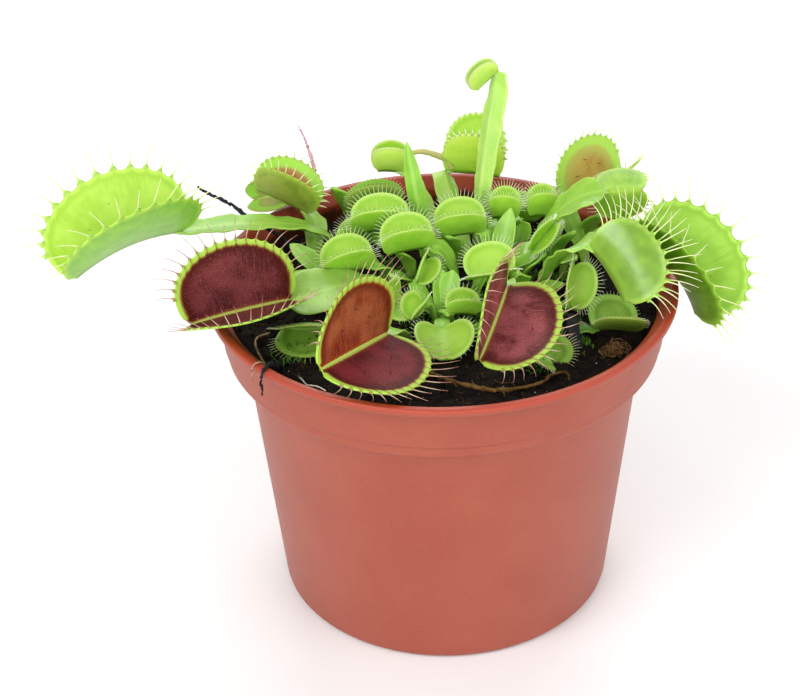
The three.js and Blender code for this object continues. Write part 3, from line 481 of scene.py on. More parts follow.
PEAT = Earth("peat", "#0a0705", "#2a1d13", 0.5, 0.95, 0.4)
CRUMB = Earth("peat_crumb", "#0e0a08", "#3a2b20", 0.4)
FIBRE = Earth("peat_fibre", "#3a2a1c", "#6a5038", 0.5)
GRIT = Earth("grit", "#a8a298", "#e4e0d6", 0.4)
BARK = Earth("root_bark", "#50340f", "#8e6a34", 0.5, 0.7, 0.12)
PALE_ROOT = Earth("root_pale", "#8a6a4c", "#d0b498", 0.6, 0.7, 0.05)
CHAR = Earth("dead_tissue", "#141418", "#36363c", 0.4, 0.7, 0.3)
MOSS = Earth("dry_moss", "#5c4024", "#a88450", 0.4, 0.9, 0.1)
GREEN_MOSS = Earth("green_moss", "#3c6c1a", "#84b83c", 1.2, 0.6, 0.05)
WITHERED = Earth("withered_tip", "#c08898", "#e4bcc0", 0.8, 0.6, 0.05)
BLUSHED = Earth("blushed_stem", "#b4c460", "#c8ac84", 3.0, 0.5, 0.02)
TERRACOTTA = Plastic("pot_plastic", "#94412d", "#b0604a", "#a43a22", "#2a1c12")


@dataclass(frozen=True)
class Flesh:
    """Living leaf tissue: a thin, moist, waxy skin over pale cells, which light soaks into."""

    glow: float = 0.35  # how much of the light goes through the tissue
    reach: float = 1.6  # how far it spreads in it, in mm

    def finish(
        self, weave: Weave, colour: bpy.types.NodeSocket, roughness: float, shine: float, **more: object
    ) -> bpy.types.Material:
        """Sets a material's shader to this tissue.

        Args:
            weave: the material in the making.
            colour: its tone.
            roughness: the surface's roughness.
            shine: the strength of its sheen.
            **more: any more of the shader's sockets.

        Returns:
            The material.
        """
        return weave.finish(
            Base_Color=colour,
            Roughness=roughness,
            IOR=TISSUE_IOR,
            Specular_IOR_Level=shine,
            Subsurface_Weight=self.glow,
            Subsurface_Radius=(0.9, 1.0, 0.25),
            Subsurface_Scale=self.reach * MM,
            **more,
        )


@dataclass(frozen=True)
class LobeInside:
    """The digestive face of a lobe: a field of pigment, a plain band by the margin and a pale midrib."""

    name: str
    field: str  # the pigment
    flush: str  # its lighter parts
    brow: str  # the darker ring where it ends
    fringe: str  # the thin blush between the pigment and the plain parts
    band: str  # the plain band by the margin
    rib: str
    band_mm: float = 0.9
    rib_mm: float = 0.4
    brow_mm: float = 1.7
    gloss: float = 0.4
    shine: float = 0.38  # the strength of the sheen
    grain: float = 0.35  # how much the glands show
    painted_glint: float = 0.0  # how much painted glints show on the glands
    flesh: Flesh = Flesh()

    def material(self) -> bpy.types.Material:
        """The finish: pigment streaked along the veins and stippled by glands 0.3 mm apart, with a sheen and
        painted glints.

        Returns:
            The material.
        """
        w = Weave(self.name)
        marks = w.add("Attribute", out="Vector", attribute_name=MARKS)
        _, height, edge = w.add("SeparateXYZ", {0: marks}).node.outputs
        veins = w.add("VectorMath", {0: marks, 1: (3.2, 0.25, 0.0)}, operation="MULTIPLY")
        streaks = w.add("TexNoise", {"Vector": veins, "Scale": 1, "Detail": 3})
        wander = w.add("Math", {0: streaks, 1: 0.6, 2: -0.3}, operation="MULTIPLY_ADD")
        inward = w.add("Math", {0: edge, 1: wander})
        off_rib = w.add("Math", {0: height, 1: wander})
        cloud = w.add("TexNoise", {"Vector": w.place, "Scale": per_mm(5)})
        gland = w.add("TexNoise", {"Vector": w.place, "Scale": per_mm(0.3)})
        glint_spots = w.add("TexNoise", {"Vector": w.place, "Scale": per_mm(0.22)})
        tone = w.coat(self.field, self.flush, cloud, 0.35, 0.65)
        tone = w.coat(tone, self.flush, streaks, 0.4, 0.8)
        tone = w.coat(tone, self.brow, gland, 0.5, 0.62, (0.0, self.grain))
        tone = w.coat(tone, self.brow, inward, self.band_mm + 0.3, self.band_mm + self.brow_mm, (0.9, 0.0))
        # Painted highlight: pale specks 0.22 mm apart stand for the glints of the wet glands.
        tone = w.coat(tone, PAINTED_GLINT, glint_spots, 0.42, 0.32, (0.0, self.painted_glint))
        plain = w.coat(self.band, self.fringe, inward, self.band_mm - 0.4, self.band_mm + 0.3)
        tone = w.coat(plain, tone, inward, self.band_mm - 0.1, self.band_mm + 0.6)
        plain = w.coat(self.rib, self.fringe, off_rib, self.rib_mm - 0.1, self.rib_mm + 0.25)
        tone = w.coat(plain, tone, off_rib, self.rib_mm + 0.1, self.rib_mm + 0.9)
        normal = w.add("Bump", {"Height": gland, "Distance": 0.04 * MM})
        return self.flesh.finish(w, tone, self.gloss, self.shine, Normal=normal)


@dataclass(frozen=True)
class LobeOutside:
    """The smooth back of a lobe: satin skin with faint veins that fan out from the midrib."""

    name: str
    skin: str
    deep: str
    edge: str
    keel: str
    gloss: float = 0.36
    shine: float = 0.38
    edge_mm: float = 1.2
    veined: float = 0.12  # how far the veins stand out
    flesh: Flesh = Flesh()

    def material(self) -> bpy.types.Material:
        """The finish: veins 1.3 mm apart that are drawn softly, and an edge painted paler for the light that
        comes through it.

        Returns:
            The material.
        """
        w = Weave(self.name)
        marks = w.add("Attribute", out="Vector", attribute_name=MARKS)
        run, height, edge = w.add("SeparateXYZ", {0: marks}).node.outputs
        vein = w.add("Math", {0: run, 1: 2 * math.pi / 1.3}, operation="MULTIPLY")
        vein = w.add("Math", {0: vein}, operation="SINE")
        mottle = w.add("TexNoise", {"Vector": w.place, "Scale": per_mm(3), "Detail": 3})
        tone = w.coat(self.skin, self.deep, mottle, 0.3, 0.7)
        tone = w.coat(tone, self.edge, vein, 0.2, 1.0, (0.0, self.veined * 0.8))
        # Painted light: the edge is paler, standing for light that shines through the thin tissue.
        tone = w.coat(tone, self.edge, edge, 0.0, self.edge_mm, (0.8, 0.0))
        tone = w.coat(tone, self.keel, height, 0.2, 2.2, (0.75, 0.0))
        cells = w.add("TexNoise", {"Vector": w.place, "Scale": per_mm(0.4)})
        relief = w.add("Math", {0: vein, 1: self.veined, 2: cells}, operation="MULTIPLY_ADD")
        normal = w.add("Bump", {"Height": relief, "Distance": 0.015 * MM})
        return self.flesh.finish(w, tone, self.gloss, self.shine, Normal=normal)


@dataclass(frozen=True)
class Petiole:
    """The leafy stalk: a flat wing each side of a paler vein, darker at its foot."""

    name: str
    wing: str
    deep: str
    vein: str
    foot: str
    gloss: float = 0.33
    shine: float = 0.5
    flesh: Flesh = Flesh()

    def material(self) -> bpy.types.Material:
        """The finish: long cells along the stalk, a vein 0.7 mm wide and a thin pale edge.

        Returns:
            The material.
        """
        w = Weave(self.name)
        marks = w.add("Attribute", out="Vector", attribute_name=MARKS)
        run, side, edge = w.add("SeparateXYZ", {0: marks}).node.outputs
        off = w.add("Math", {0: side}, operation="ABSOLUTE")
        long = w.add("VectorMath", {0: marks, 1: (0.15, 1.0, 0.0)}, operation="MULTIPLY")
        cells = w.add("TexNoise", {"Vector": long, "Scale": 1 / 0.5})
        mottle = w.add("TexNoise", {"Vector": w.place, "Scale": per_mm(4), "Detail": 3})
        tone = w.coat(self.wing, self.deep, mottle, 0.3, 0.7)
        tone = w.coat(tone, self.deep, cells, 0.4, 0.7, (0.0, 0.3))
        tone = w.coat(tone, self.vein, off, 0.15, 0.6, (0.35, 0.0))
        tone = w.coat(tone, self.vein, edge, 0.0, 0.4, (0.5, 0.0))
        tone = w.coat(tone, self.foot, run, 0.0, 4.0, (0.7, 0.0))
        fine = w.add("TexNoise", {"Vector": w.place, "Scale": per_mm(0.6)})
        relief = w.add("Math", {0: cells, 1: fine})
        normal = w.add("Bump", {"Height": relief, "Distance": 0.05 * MM})
        return self.flesh.finish(w, tone, self.gloss, self.shine, Normal=normal)


@dataclass(frozen=True)
class Cilium:
    """A tooth of the margin: stiff and waxy, green at its root and paler to its point."""

    name: str
    root: str
    shaft: str
    tip: str
    gloss: float = 0.4
    shine: float = 0.38
    flesh: Flesh = Flesh(glow=0.25, reach=0.5)

    def material(self) -> bpy.types.Material:
        """The finish: a colour that changes along the tooth, which its first mark gives from 0 to 1.

        Returns:
            The material.
        """
        w = Weave(self.name)
        marks = w.add("Attribute", out="Vector", attribute_name=MARKS)
        share = w.add("SeparateXYZ", {0: marks})
        patch = w.add("TexNoise", {"Vector": w.place, "Scale": per_mm(5)})
        uneven = w.add("TexNoise", {"Vector": w.place, "Scale": per_mm(3)})
        uneven = w.add("Math", {0: uneven, 1: 0.3, 2: share}, operation="MULTIPLY_ADD")
        shaft = w.coat(self.shaft, self.tip, patch, 0.45, 0.6, (0.0, 0.7))
        tone = w.coat(self.root, shaft, share, 0.02, 0.3)
        tone = w.coat(tone, self.tip, uneven, 0.6, 1.1)
        return self.flesh.finish(w, tone, self.gloss, self.shine)


@dataclass(frozen=True)
class Skin:
    """All that a leaf is dressed in, and the record's slot that stands for it."""

    slot: str
    left: LobeInside | Earth
    right: LobeInside | Earth
    outside: LobeOutside | Earth
    stalk: Petiole | Earth
    cilium: Cilium | Earth

    def materials(self, made: dict[str, bpy.types.Material]) -> list[bpy.types.Material]:
        """The leaf's materials in slot order, each made once for all leaves.

        Args:
            made: the materials that exist, by name.

        Returns:
            One material for each Face.
        """
        finishes = (self.left, self.right, self.outside, self.stalk, self.cilium, TRIGGER_HAIR)
        for finish in finishes:
            if finish.name not in made:
                made[finish.name] = finish.material()
        return [made[finish.name] for finish in finishes]


TRIGGER_HAIR = Cilium("trigger_hair", "#8a4a30", "#3a1a14", "#2a1210")
PALE_TOOTH = Cilium("cilium_pale", "#a5d94c", "#dde8a6", "#dcd9b4")
YOUNG_TOOTH = Cilium("cilium_young", "#b4e45e", "#eaf6c0", "#fbfbe8")
PINK_TOOTH = Cilium("cilium_pink", "#94784a", "#d0b49c", "#985a5c")

LIME_INSIDE = LobeInside(
    "lobe_inside_lime", "#a4ca40", "#b6d858", "#9cc53c", "#acd44c", "#bce062", "#b8dc62", band_mm=0.5,
    grain=0.1
)
SHADED_INSIDE = LobeInside(
    "lobe_inside_shaded", "#8cb43a", "#9cc44e", "#84ae36", "#94bf44", "#a8d058", "#a4ca58", band_mm=0.5,
    grain=0.1
)
YOUNG_INSIDE = LobeInside(
    "lobe_inside_young", "#98c33b", "#a8ce4b", "#91bf35", "#a4ce53", "#c0de77", "#a8ce4b", band_mm=0.3,
    grain=0.1
)
MAROON_INSIDE = LobeInside(
    "lobe_inside_maroon", "#4c141a", "#743034", "#440a08", "#7c3c18", "#a4c450", "#a8b454", brow_mm=3.0,
    shine=0.16, painted_glint=0.12,
)
# Painted shade: a darker copy of the maroon inside with less sheen, for the front-left trap's lower lobe.
MAROON_INSIDE_SHADED = replace(
    MAROON_INSIDE, name="lobe_inside_garnet", field="#4e0f17", flush="#742228", shine=0.08, painted_glint=0.07
)
# Painted light: a lighter copy of the maroon inside, with a brighter flush, more sheen and more painted
# glints, for the front-right trap, which catches more of the light.
MAROON_INSIDE_LIT = replace(
    MAROON_INSIDE, name="lobe_inside_wine", field="#5e191f", flush="#94484a", shine=0.3, painted_glint=0.16
)
# Painted light: an orange copy of the maroon inside, for the front-left trap's upper lobe, as the light
# shining through it makes it look.
MAROON_INSIDE_BACKLIT = LobeInside(
    "lobe_inside_brick", "#782410", "#a05434", "#5c1004", "#983c0c", "#a4c450", "#b8cc60", brow_mm=2.8,
    shine=0.2, painted_glint=0.12,
)
AMBER_INSIDE = LobeInside(
    "lobe_inside_amber", "#a4783a", "#b89c50", "#b0b45c", "#b0bc58", "#a8d258", "#b0ca56", band_mm=1.9,
    brow_mm=3.4
)
ROSE_INSIDE = LobeInside(
    "lobe_inside_rose", "#a85c48", "#c08860", "#b88c58", "#b0a860", "#a4d65a", "#b0d26c", band_mm=2.0
)
BLUSH_INSIDE = replace(
    ROSE_INSIDE, name="lobe_inside_blush", field="#b4a878", flush="#bcb880", brow="#a8b468"
)
OLIVE_INSIDE = LobeInside(
    "lobe_inside_olive", "#7da739", "#91b748", "#719832", "#89b340", "#98c653", "#94bf4f", grain=0.2
)

LIME_OUTSIDE = LobeOutside("lobe_outside_lime", "#8cb835", "#78a62e", "#a8d050", "#9ec44a", shine=0.26)
SATIN_OUTSIDE = LobeOutside("lobe_outside_satin", "#8fc34b", "#7db348", "#acd253", "#8dbf53", gloss=0.34)
YOUNG_OUTSIDE = LobeOutside("lobe_outside_young", "#a6d648", "#94c83c", "#b4da65", "#a4ce4b", edge_mm=0.6)
GLOSSY_OUTSIDE = LobeOutside(
    "lobe_outside_glossy", "#7ca630", "#6b922a", "#9cc04e", "#8cb046", 0.22, 0.9, veined=0.02
)
DEEP_OUTSIDE = LobeOutside("lobe_outside_deep", "#759432", "#62802a", "#98b348", "#819c40", gloss=0.42)
SHADED_OUTSIDE = LobeOutside("lobe_outside_shaded", "#5e8a18", "#507a14", "#88b038", "#6c942a", shine=0.14)
OLIVE_OUTSIDE = LobeOutside("lobe_outside_olive", "#94a340", "#799032", "#a4bb48", "#89a739", gloss=0.38)
THIN_OUTSIDE = LobeOutside(
    "lobe_outside_thin", "#b8da65", "#a8d256", "#c3e27b", "#acd256", flesh=Flesh(glow=0.6, reach=3.0)
)

LIME_STALK = Petiole("petiole_lime", "#98c348", "#81b33d", "#b0d661", "#719835")
FRESH_STALK = Petiole("petiole_fresh", "#98c848", "#81b739", "#b0da65", "#719835")
DEEP_STALK = Petiole("petiole_deep", "#699832", "#5a882a", "#89b34f", "#567532")
GREEN_STALK = Petiole("petiole_green", "#98bf53", "#85af44", "#b0ce68", "#698835")
THIN_STALK = Petiole("petiole_thin", "#b4d66c", "#a0ca56", "#c3e282", "#81a340")

LIME = Skin("leaf_lime", LIME_INSIDE, LIME_INSIDE, LIME_OUTSIDE, LIME_STALK, PALE_TOOTH)
SATIN = replace(LIME, outside=SATIN_OUTSIDE)
GLOSSY = replace(LIME, outside=GLOSSY_OUTSIDE)
YOUNGER = Skin("leaf_lime", YOUNG_INSIDE, YOUNG_INSIDE, YOUNG_OUTSIDE, FRESH_STALK, YOUNG_TOOTH)
MAROON = Skin("leaf_red", MAROON_INSIDE, MAROON_INSIDE, LIME_OUTSIDE, GREEN_STALK, PINK_TOOTH)
# Painted light: the front-right trap wears the lit copy of the maroon inside.
MAROON_LIT = replace(MAROON, left=MAROON_INSIDE_LIT, right=MAROON_INSIDE_LIT)
# Painted light and shade: the front-left trap's lobes are a backlit copy and a shaded copy of one maroon
# inside.
MAROON_BACKLIT_AND_SHADED = replace(MAROON, left=MAROON_INSIDE_SHADED, right=MAROON_INSIDE_BACKLIT)
SHADED = replace(LIME, left=SHADED_INSIDE, right=SHADED_INSIDE, outside=SHADED_OUTSIDE)
THIN = Skin("leaf_lime", YOUNG_INSIDE, YOUNG_INSIDE, THIN_OUTSIDE, THIN_STALK, YOUNG_TOOTH)
AMBER = Skin("leaf_amber", AMBER_INSIDE, AMBER_INSIDE, LIME_OUTSIDE, LIME_STALK, PALE_TOOTH)
ROSE = Skin("leaf_green", ROSE_INSIDE, ROSE_INSIDE, OLIVE_OUTSIDE, GREEN_STALK, PALE_TOOTH)
BLUSH = replace(ROSE, left=BLUSH_INSIDE, right=BLUSH_INSIDE)
DEEP = Skin("leaf_deep_green", OLIVE_INSIDE, OLIVE_INSIDE, DEEP_OUTSIDE, DEEP_STALK, PALE_TOOTH)
DEAD = Skin("dead_tissue", CHAR, CHAR, CHAR, CHAR, CHAR)


# ---------------------------------------------------------------- a trap

LOBE_END = math.radians(14)  # the outline's angle where the comb of cilia starts
LOBE_START = math.radians(4)  # and where the lobe leaves the midrib
LOBE_SQUARENESS = 0.75  # 1 is half an ellipse, and less is squarer
BLADE = 0.3  # half thickness of a lobe near the midrib
RIM = 0.2  # and at its margin
STEP = 0.02  # how far apart points are taken to find a normal
SPRING = 0.4  # how far a cilium keeps to its lobe's direction before it turns to its own
STATIONS = np.array([-0.12, 0.0, 0.1, 0.25, 0.45, 0.65, 0.85, 1.0])  # its sections, as shares of its length
FOOT_AT = 0.985  # where it stands, as a share of the lobe's depth
SUNK = 0.35  # how far its foot runs back into the lobe
FLARE = 0.42  # half the width of its foot, as a share of the gap to the next
BIG_TOOTH = 2.5  # a longer cilium than this has a taller foot and rounder sections
TRIGGERS = ((1.2, 0.42), (1.57, 0.6), (1.95, 0.42))  # the angle and share of each trigger hair
TICK = np.array([[0.08, 0.04], [0.06, 0.04], [0.02, 0.02]])  # half sizes of the dark line under a cilium
NECK_TAPER = np.array([0.9, 0.7, 0.3])  # how a stalk thins where it runs into the midrib


@dataclass(frozen=True)
class Trap:
    """A trap: two cupped lobes on a bent midrib, with a comb of cilia on each margin. Angles are degrees."""

    at: Point
    heading: float = 0.0
    pitch: float = 0.0
    roll: float = 0.0
    bend: float = 20.0
    length: float = 14.0
    depth: float = 8.0
    over: float = 1.2  # how far the lobes reach past the midrib's ends
    open: Span = (35.0, 35.0)
    cup: float = 25.0
    pinch: float = 8.0
    curl: float = 30.0
    tooth: float = 3.0
    interlock: float = 0.0
    shaft: float = 0.14  # half thickness of a cilium at its foot
    tuck: Span = (0.0, 0.0)  # how much more each lobe's cilia curl in
    ticks: bool = False  # whether a dark line runs on from each cilium over the margin's band
    cilia: int = 14  # on each margin
    scallop: float = 0.5  # how far the margin stands out at the foot of a cilium
    cell: int = 6  # columns of the mesh for each cilium
    rows: int = 12
    hairs: bool = True

    def axes(self) -> tuple[np.ndarray, np.ndarray, np.ndarray]:
        """The frame at the midrib's start.

        Returns:
            Three vectors of length one: along the midrib, out of the mouth, and to the left.
        """
        h, p, r = (math.radians(v) for v in (self.heading, self.pitch, self.roll))
        along = np.array([math.cos(p) * math.cos(h), math.cos(p) * math.sin(h), math.sin(p)])
        level = np.array([-math.sin(p) * math.cos(h), -math.sin(p) * math.sin(h), math.cos(p)])
        side = np.cross(level, along)
        mouth = level * math.cos(r) + side * math.sin(r)
        left = side * math.cos(r) - level * math.sin(r)
        return along, mouth, left

    def midrib(self, x: np.ndarray) -> tuple[np.ndarray, np.ndarray, np.ndarray, np.ndarray]:
        """Where the midrib is, and its turned frame there.

        Args:
            x: how far from its start, in mm.

        Returns:
            The point, and the vectors along, out of the mouth and to the left.
        """
        along, mouth, left = self.axes()
        curvature = math.radians(self.bend) / self.length or 1e-6
        x = np.asarray(x, float)[..., None]
        turn = curvature * x
        at = np.array(self.at) + along * np.sin(turn) / curvature - mouth * (1 - np.cos(turn)) / curvature
        return (
            at,
            along * np.cos(turn) - mouth * np.sin(turn),
            mouth * np.cos(turn) + along * np.sin(turn),
            np.broadcast_to(left, at.shape),
        )

    def lobe_angle(self, side: int, x: np.ndarray, share: np.ndarray) -> np.ndarray:
        """A lobe's angle from the mouth's axis.

        Args:
            side: 1 for the left lobe and -1 for the right.
            x: how far along the midrib, in mm.
            share: the share of its depth.

        Returns:
            The angle in radians.
        """
        start = self.open[0] if side > 0 else self.open[1]
        ends = 2 * x / self.length - 1
        return np.radians(start - self.pinch * ends**2 + self.cup * (0.5 - share))

    def outline(self, a: np.ndarray) -> tuple[np.ndarray, np.ndarray, np.ndarray]:
        """A lobe's flat outline.

        Args:
            a: outline angles.

        Returns:
            Its foot on the midrib, and the x and height of the margin, in mm.
        """
        rise = np.maximum(np.sin(a), 1e-4)
        foot = self.length / 2 * (1 - np.cos(a))
        x = self.length / 2 - (self.length / 2 + self.over * rise**0.3) * np.cos(a)
        return foot, x, self.depth * rise**LOBE_SQUARENESS

    def cusp(self, side: int, a: np.ndarray) -> np.ndarray:
        """How far the margin stands out, which is most at the foot of each cilium.

        Args:
            side: 1 for the left lobe and -1 for the right.
            a: outline angles.

        Returns:
            How far, in mm.
        """
        cell = (a - LOBE_END) / (math.pi - 2 * LOBE_END) * self.cilia - self.interlock * side
        off = np.abs(cell - np.floor(cell) - 0.5) * 2
        combed = (a >= LOBE_END) & (a <= math.pi - LOBE_END)
        return self.scallop * (np.where(combed, (1 - off) ** 2, 0.0) - 0.25)

    def surface(self, side: int, a: np.ndarray, t: np.ndarray) -> np.ndarray:
        """Points of a lobe's middle layer.

        Args:
            side: 1 for the left lobe and -1 for the right.
            a: outline angles.
            t: shares of the way from the midrib to the margin.

        Returns:
            The points in mm.
        """
        foot, x, h = self.outline(a)
        x = foot + (x - foot) * t
        h = h * t + self.cusp(side, a) * np.clip(t, 0, 1.2) ** 9
        at, _, mouth, left = self.midrib(x)
        cup = math.radians(self.cup) or 1e-6
        radius = self.depth / cup
        root = self.lobe_angle(side, x, np.zeros_like(x))[..., None]
        here = self.lobe_angle(side, x, h / self.depth)[..., None]
        return (
            at
            + mouth * radius * (np.sin(root) - np.sin(here))
            + left * side * radius * (np.cos(here) - np.cos(root))
        )

    def normal(self, side: int, a: np.ndarray, t: np.ndarray) -> np.ndarray:
        """A lobe's inward normals, which turn to the mouth's axis at the midrib.

        Args:
            side: 1 for the left lobe and -1 for the right.
            a: outline angles.
            t: shares of the way from the midrib to the margin.

        Returns:
            Vectors of length one.
        """
        t_safe = np.maximum(t, 2 * STEP)
        across = self.surface(side, a, t_safe) - self.surface(side, a, t_safe - STEP)
        along = self.surface(side, a + STEP, t_safe) - self.surface(side, a - STEP, t_safe)
        inward = unit(np.cross(along, across) * side)
        mouth = self.midrib(self.outline(a)[0])[2]
        share = smooth(0.0, 0.14, t)[..., None]
        return unit(mouth * (1 - share) + inward * share)

    def edge_distance(self, a: np.ndarray, t: np.ndarray) -> np.ndarray:
        """How far points are from the lobe's outline, measured on the flat lobe.

        Args:
            a: outline angles.
            t: shares of the way from the midrib to the margin.

        Returns:
            The distance in mm.
        """
        _, edge_x, edge_h = self.outline(a[:, 0])
        foot, x, h = self.outline(a)
        x, h = foot + (x - foot) * t, h * t
        return np.sqrt(np.min((x[..., None] - edge_x) ** 2 + (h[..., None] - edge_h) ** 2, axis=-1))

    def add_lobe(self, sheet: Sheet, side: int) -> None:
        """Adds one lobe as a closed shell with a rounded rim.

        Args:
            sheet: the mesh that it goes into.
            side: 1 for the left lobe and -1 for the right.
        """
        ends = np.linspace(LOBE_START, LOBE_END, 5)[:-1]
        comb = np.linspace(LOBE_END, math.pi - LOBE_END, self.cilia * self.cell + 1)
        a = np.concatenate([ends, comb, math.pi - ends[::-1]])[:, None]
        columns = len(a) - 1
        t = np.sin(np.linspace(0, math.pi / 2, self.rows + 1))[None, :] ** 1.15
        a, t = np.broadcast_arrays(a, t)
        middle = self.surface(side, a, t)
        normal = self.normal(side, a, t)
        half = BLADE + (RIM - BLADE) * t
        keel = np.exp(-((t * self.depth / 0.8) ** 2))
        edge = self.edge_distance(a, t)
        height = t * self.outline(a)[2]
        run = a * self.length / 2
        marks = np.stack([run, height, edge], axis=-1)
        inner = sheet.add_points(middle + normal * (half + 0.1 * keel)[..., None], marks)
        outer = sheet.add_points(middle - normal * (half + 0.35 * keel)[..., None], marks)
        sheet.add_grid(inner, Face.INNER_LEFT if side > 0 else Face.INNER_RIGHT)
        sheet.add_grid(outer, Face.OUTER)
        # The rim runs up one end, along the margin and down the other end.
        last, far = self.rows, columns
        spots = [(0, k) for k in range(last)] + [(i, last) for i in range(far)]
        spots += [(far, k) for k in range(last, -1, -1)]
        i, k = np.array(spots).T
        inward_i = np.clip(i, 1, far - 1)
        inward_k = np.where(k == last, last - 1, k)
        out = unit(middle[i, k] - middle[inward_i, inward_k]) * (half[i, k] * 0.8)[:, None]
        rim = sheet.add_points(middle[i, k] + out, marks[i, k])
        sheet.add_grid(np.stack([inner[i, k], rim, outer[i, k]]), Face.OUTER)

    def add_cilia(self, sheet: Sheet, side: int, rng: np.random.Generator) -> None:
        """Adds the comb of one margin: each cilium runs on from the lobe and curls in over the mouth.

        Args:
            sheet: the mesh that it goes into.
            side: 1 for the left lobe and -1 for the right.
            rng: the source of its random draws.
        """
        pitch = (math.pi - 2 * LOBE_END) / self.cilia
        share = np.clip(STATIONS, 0, 1)
        s = STATIONS[:, None]
        big = self.tooth > BIG_TOOTH
        shaft = self.shaft * (0.25 + 0.75 * (1 - share) ** 0.8)
        thick = np.minimum(np.maximum(shaft, 0.04), RIM * 0.9)
        for j in range(self.cilia):
            a = np.array(LOBE_END + pitch * (j + 0.5 + self.interlock * side))
            if not LOBE_END < a < math.pi - LOBE_END:
                continue
            _, x, h = self.outline(a)
            _, along, mouth, left = self.midrib(x)
            foot = self.surface(side, a, np.array(FOOT_AT))
            spring = unit(foot - self.surface(side, a, np.array(0.9)))
            curl = self.curl + self.tuck[0 if side > 0 else 1]
            lean = self.lobe_angle(side, x, h / self.depth) - math.radians(curl + rng.uniform(-6, 6))
            size = self.tooth * (0.6 + 0.4 * math.sin(a)) * (0.88 if j % 2 else 1.0) * rng.uniform(0.88, 1.0)
            fan = math.cos(a) + rng.uniform(-0.07, 0.07)
            up = mouth * math.cos(lean) + left * math.sin(lean) * side
            tip = foot + size * (up * math.sin(a) - along * fan)
            knee = foot + (spring * SPRING + unit(tip - foot) * (1 - SPRING)) * size * 0.5
            path = (1 - s) ** 2 * foot + 2 * s * (1 - s) * knee + s**2 * tip
            path[0] = foot - spring * SUNK
            gap = np.linalg.norm(self.surface(side, a + pitch / 2, np.array(1.0)) - foot)
            flare = gap * FLARE * np.exp(-share * size / (0.5 if big else 0.16))
            half = np.stack([np.maximum(shaft, flare), thick], axis=-1)
            sheet.add_tube(path, half, along, Face.CILIUM, 6 if big else 5, np.outer(share, EAST))
            if self.ticks:
                t = np.array([1.0, 0.96, 0.91])
                line = self.surface(side, a, t) + self.normal(side, a, t) * 0.22
                sheet.add_tube(line, TICK, along, Face.TRIGGER, 5)

    def add_triggers(self, sheet: Sheet, side: int) -> None:
        """Adds the three trigger hairs that stand on the inside of a lobe.

        Args:
            sheet: the mesh that it goes into.
            side: 1 for the left lobe and -1 for the right.
        """
        reach = 0.2 + 1.1 * min(1.0, self.depth / 10)
        s = np.array([0.0, 0.35, 0.7, 1.0])[:, None]
        for a, t in np.array(TRIGGERS):
            lean = self.midrib(a)[1] * 0.25 * s**2
            path = self.surface(side, a, t) + self.normal(side, a, t) * s * reach + lean
            sheet.add_tube(path, 0.1 - 0.075 * s, self.axes()[0], Face.TRIGGER, 4, s * EAST)

    def build(self, sheet: Sheet, seed: int) -> None:
        """Adds the whole trap.

        Args:
            sheet: the mesh that it goes into.
            seed: the seed of its random draws.
        """
        rng = np.random.default_rng(seed)
        for side in (1, -1):
            self.add_lobe(sheet, side)
            self.add_cilia(sheet, side, rng)
            if self.hairs:
                self.add_triggers(sheet, side)


# ---------------------------------------------------------------- a leaf

SOIL_LEVEL = 60.4
ROOT_DEPTH = 3.0  # how far the fine stalks run on under the peat
KEEL_FOLD = math.tan(math.radians(14))
NECK_DROP = 0.45  # how far a stalk's end is below the midrib that it carries
BURIED = 1.4
WING_EDGE = 0.2  # half thickness of a wing at its edge


@dataclass(frozen=True)
class Stalk:
    """A petiole: a stem at its foot that widens to a leafy blade and narrows to a neck."""

    rise: float = 8.0
    lean: Span = (0.0, 0.0)
    arrive: float = 8.0
    stem: float = 0.9
    width: float = 5.0
    widest: float = 0.72
    neck: float = 0.7
    thick: float = 0.5
    turn: float | None = None

    def half_width(self, s: np.ndarray) -> np.ndarray:
        """Half its width.

        Args:
            s: shares of its length.

        Returns:
            The half widths in mm.
        """
        half = self.width / 2
        past = np.clip((s - self.widest) / (1 - self.widest), 0, 1)
        late = self.neck + (half - self.neck) * np.sqrt(1 - past**2.4)
        rise = np.clip(s / self.widest, 0, 1)
        early = self.stem + (half - self.stem) * rise * rise * (3 - 2 * rise)
        return np.where(s > self.widest, late, early)


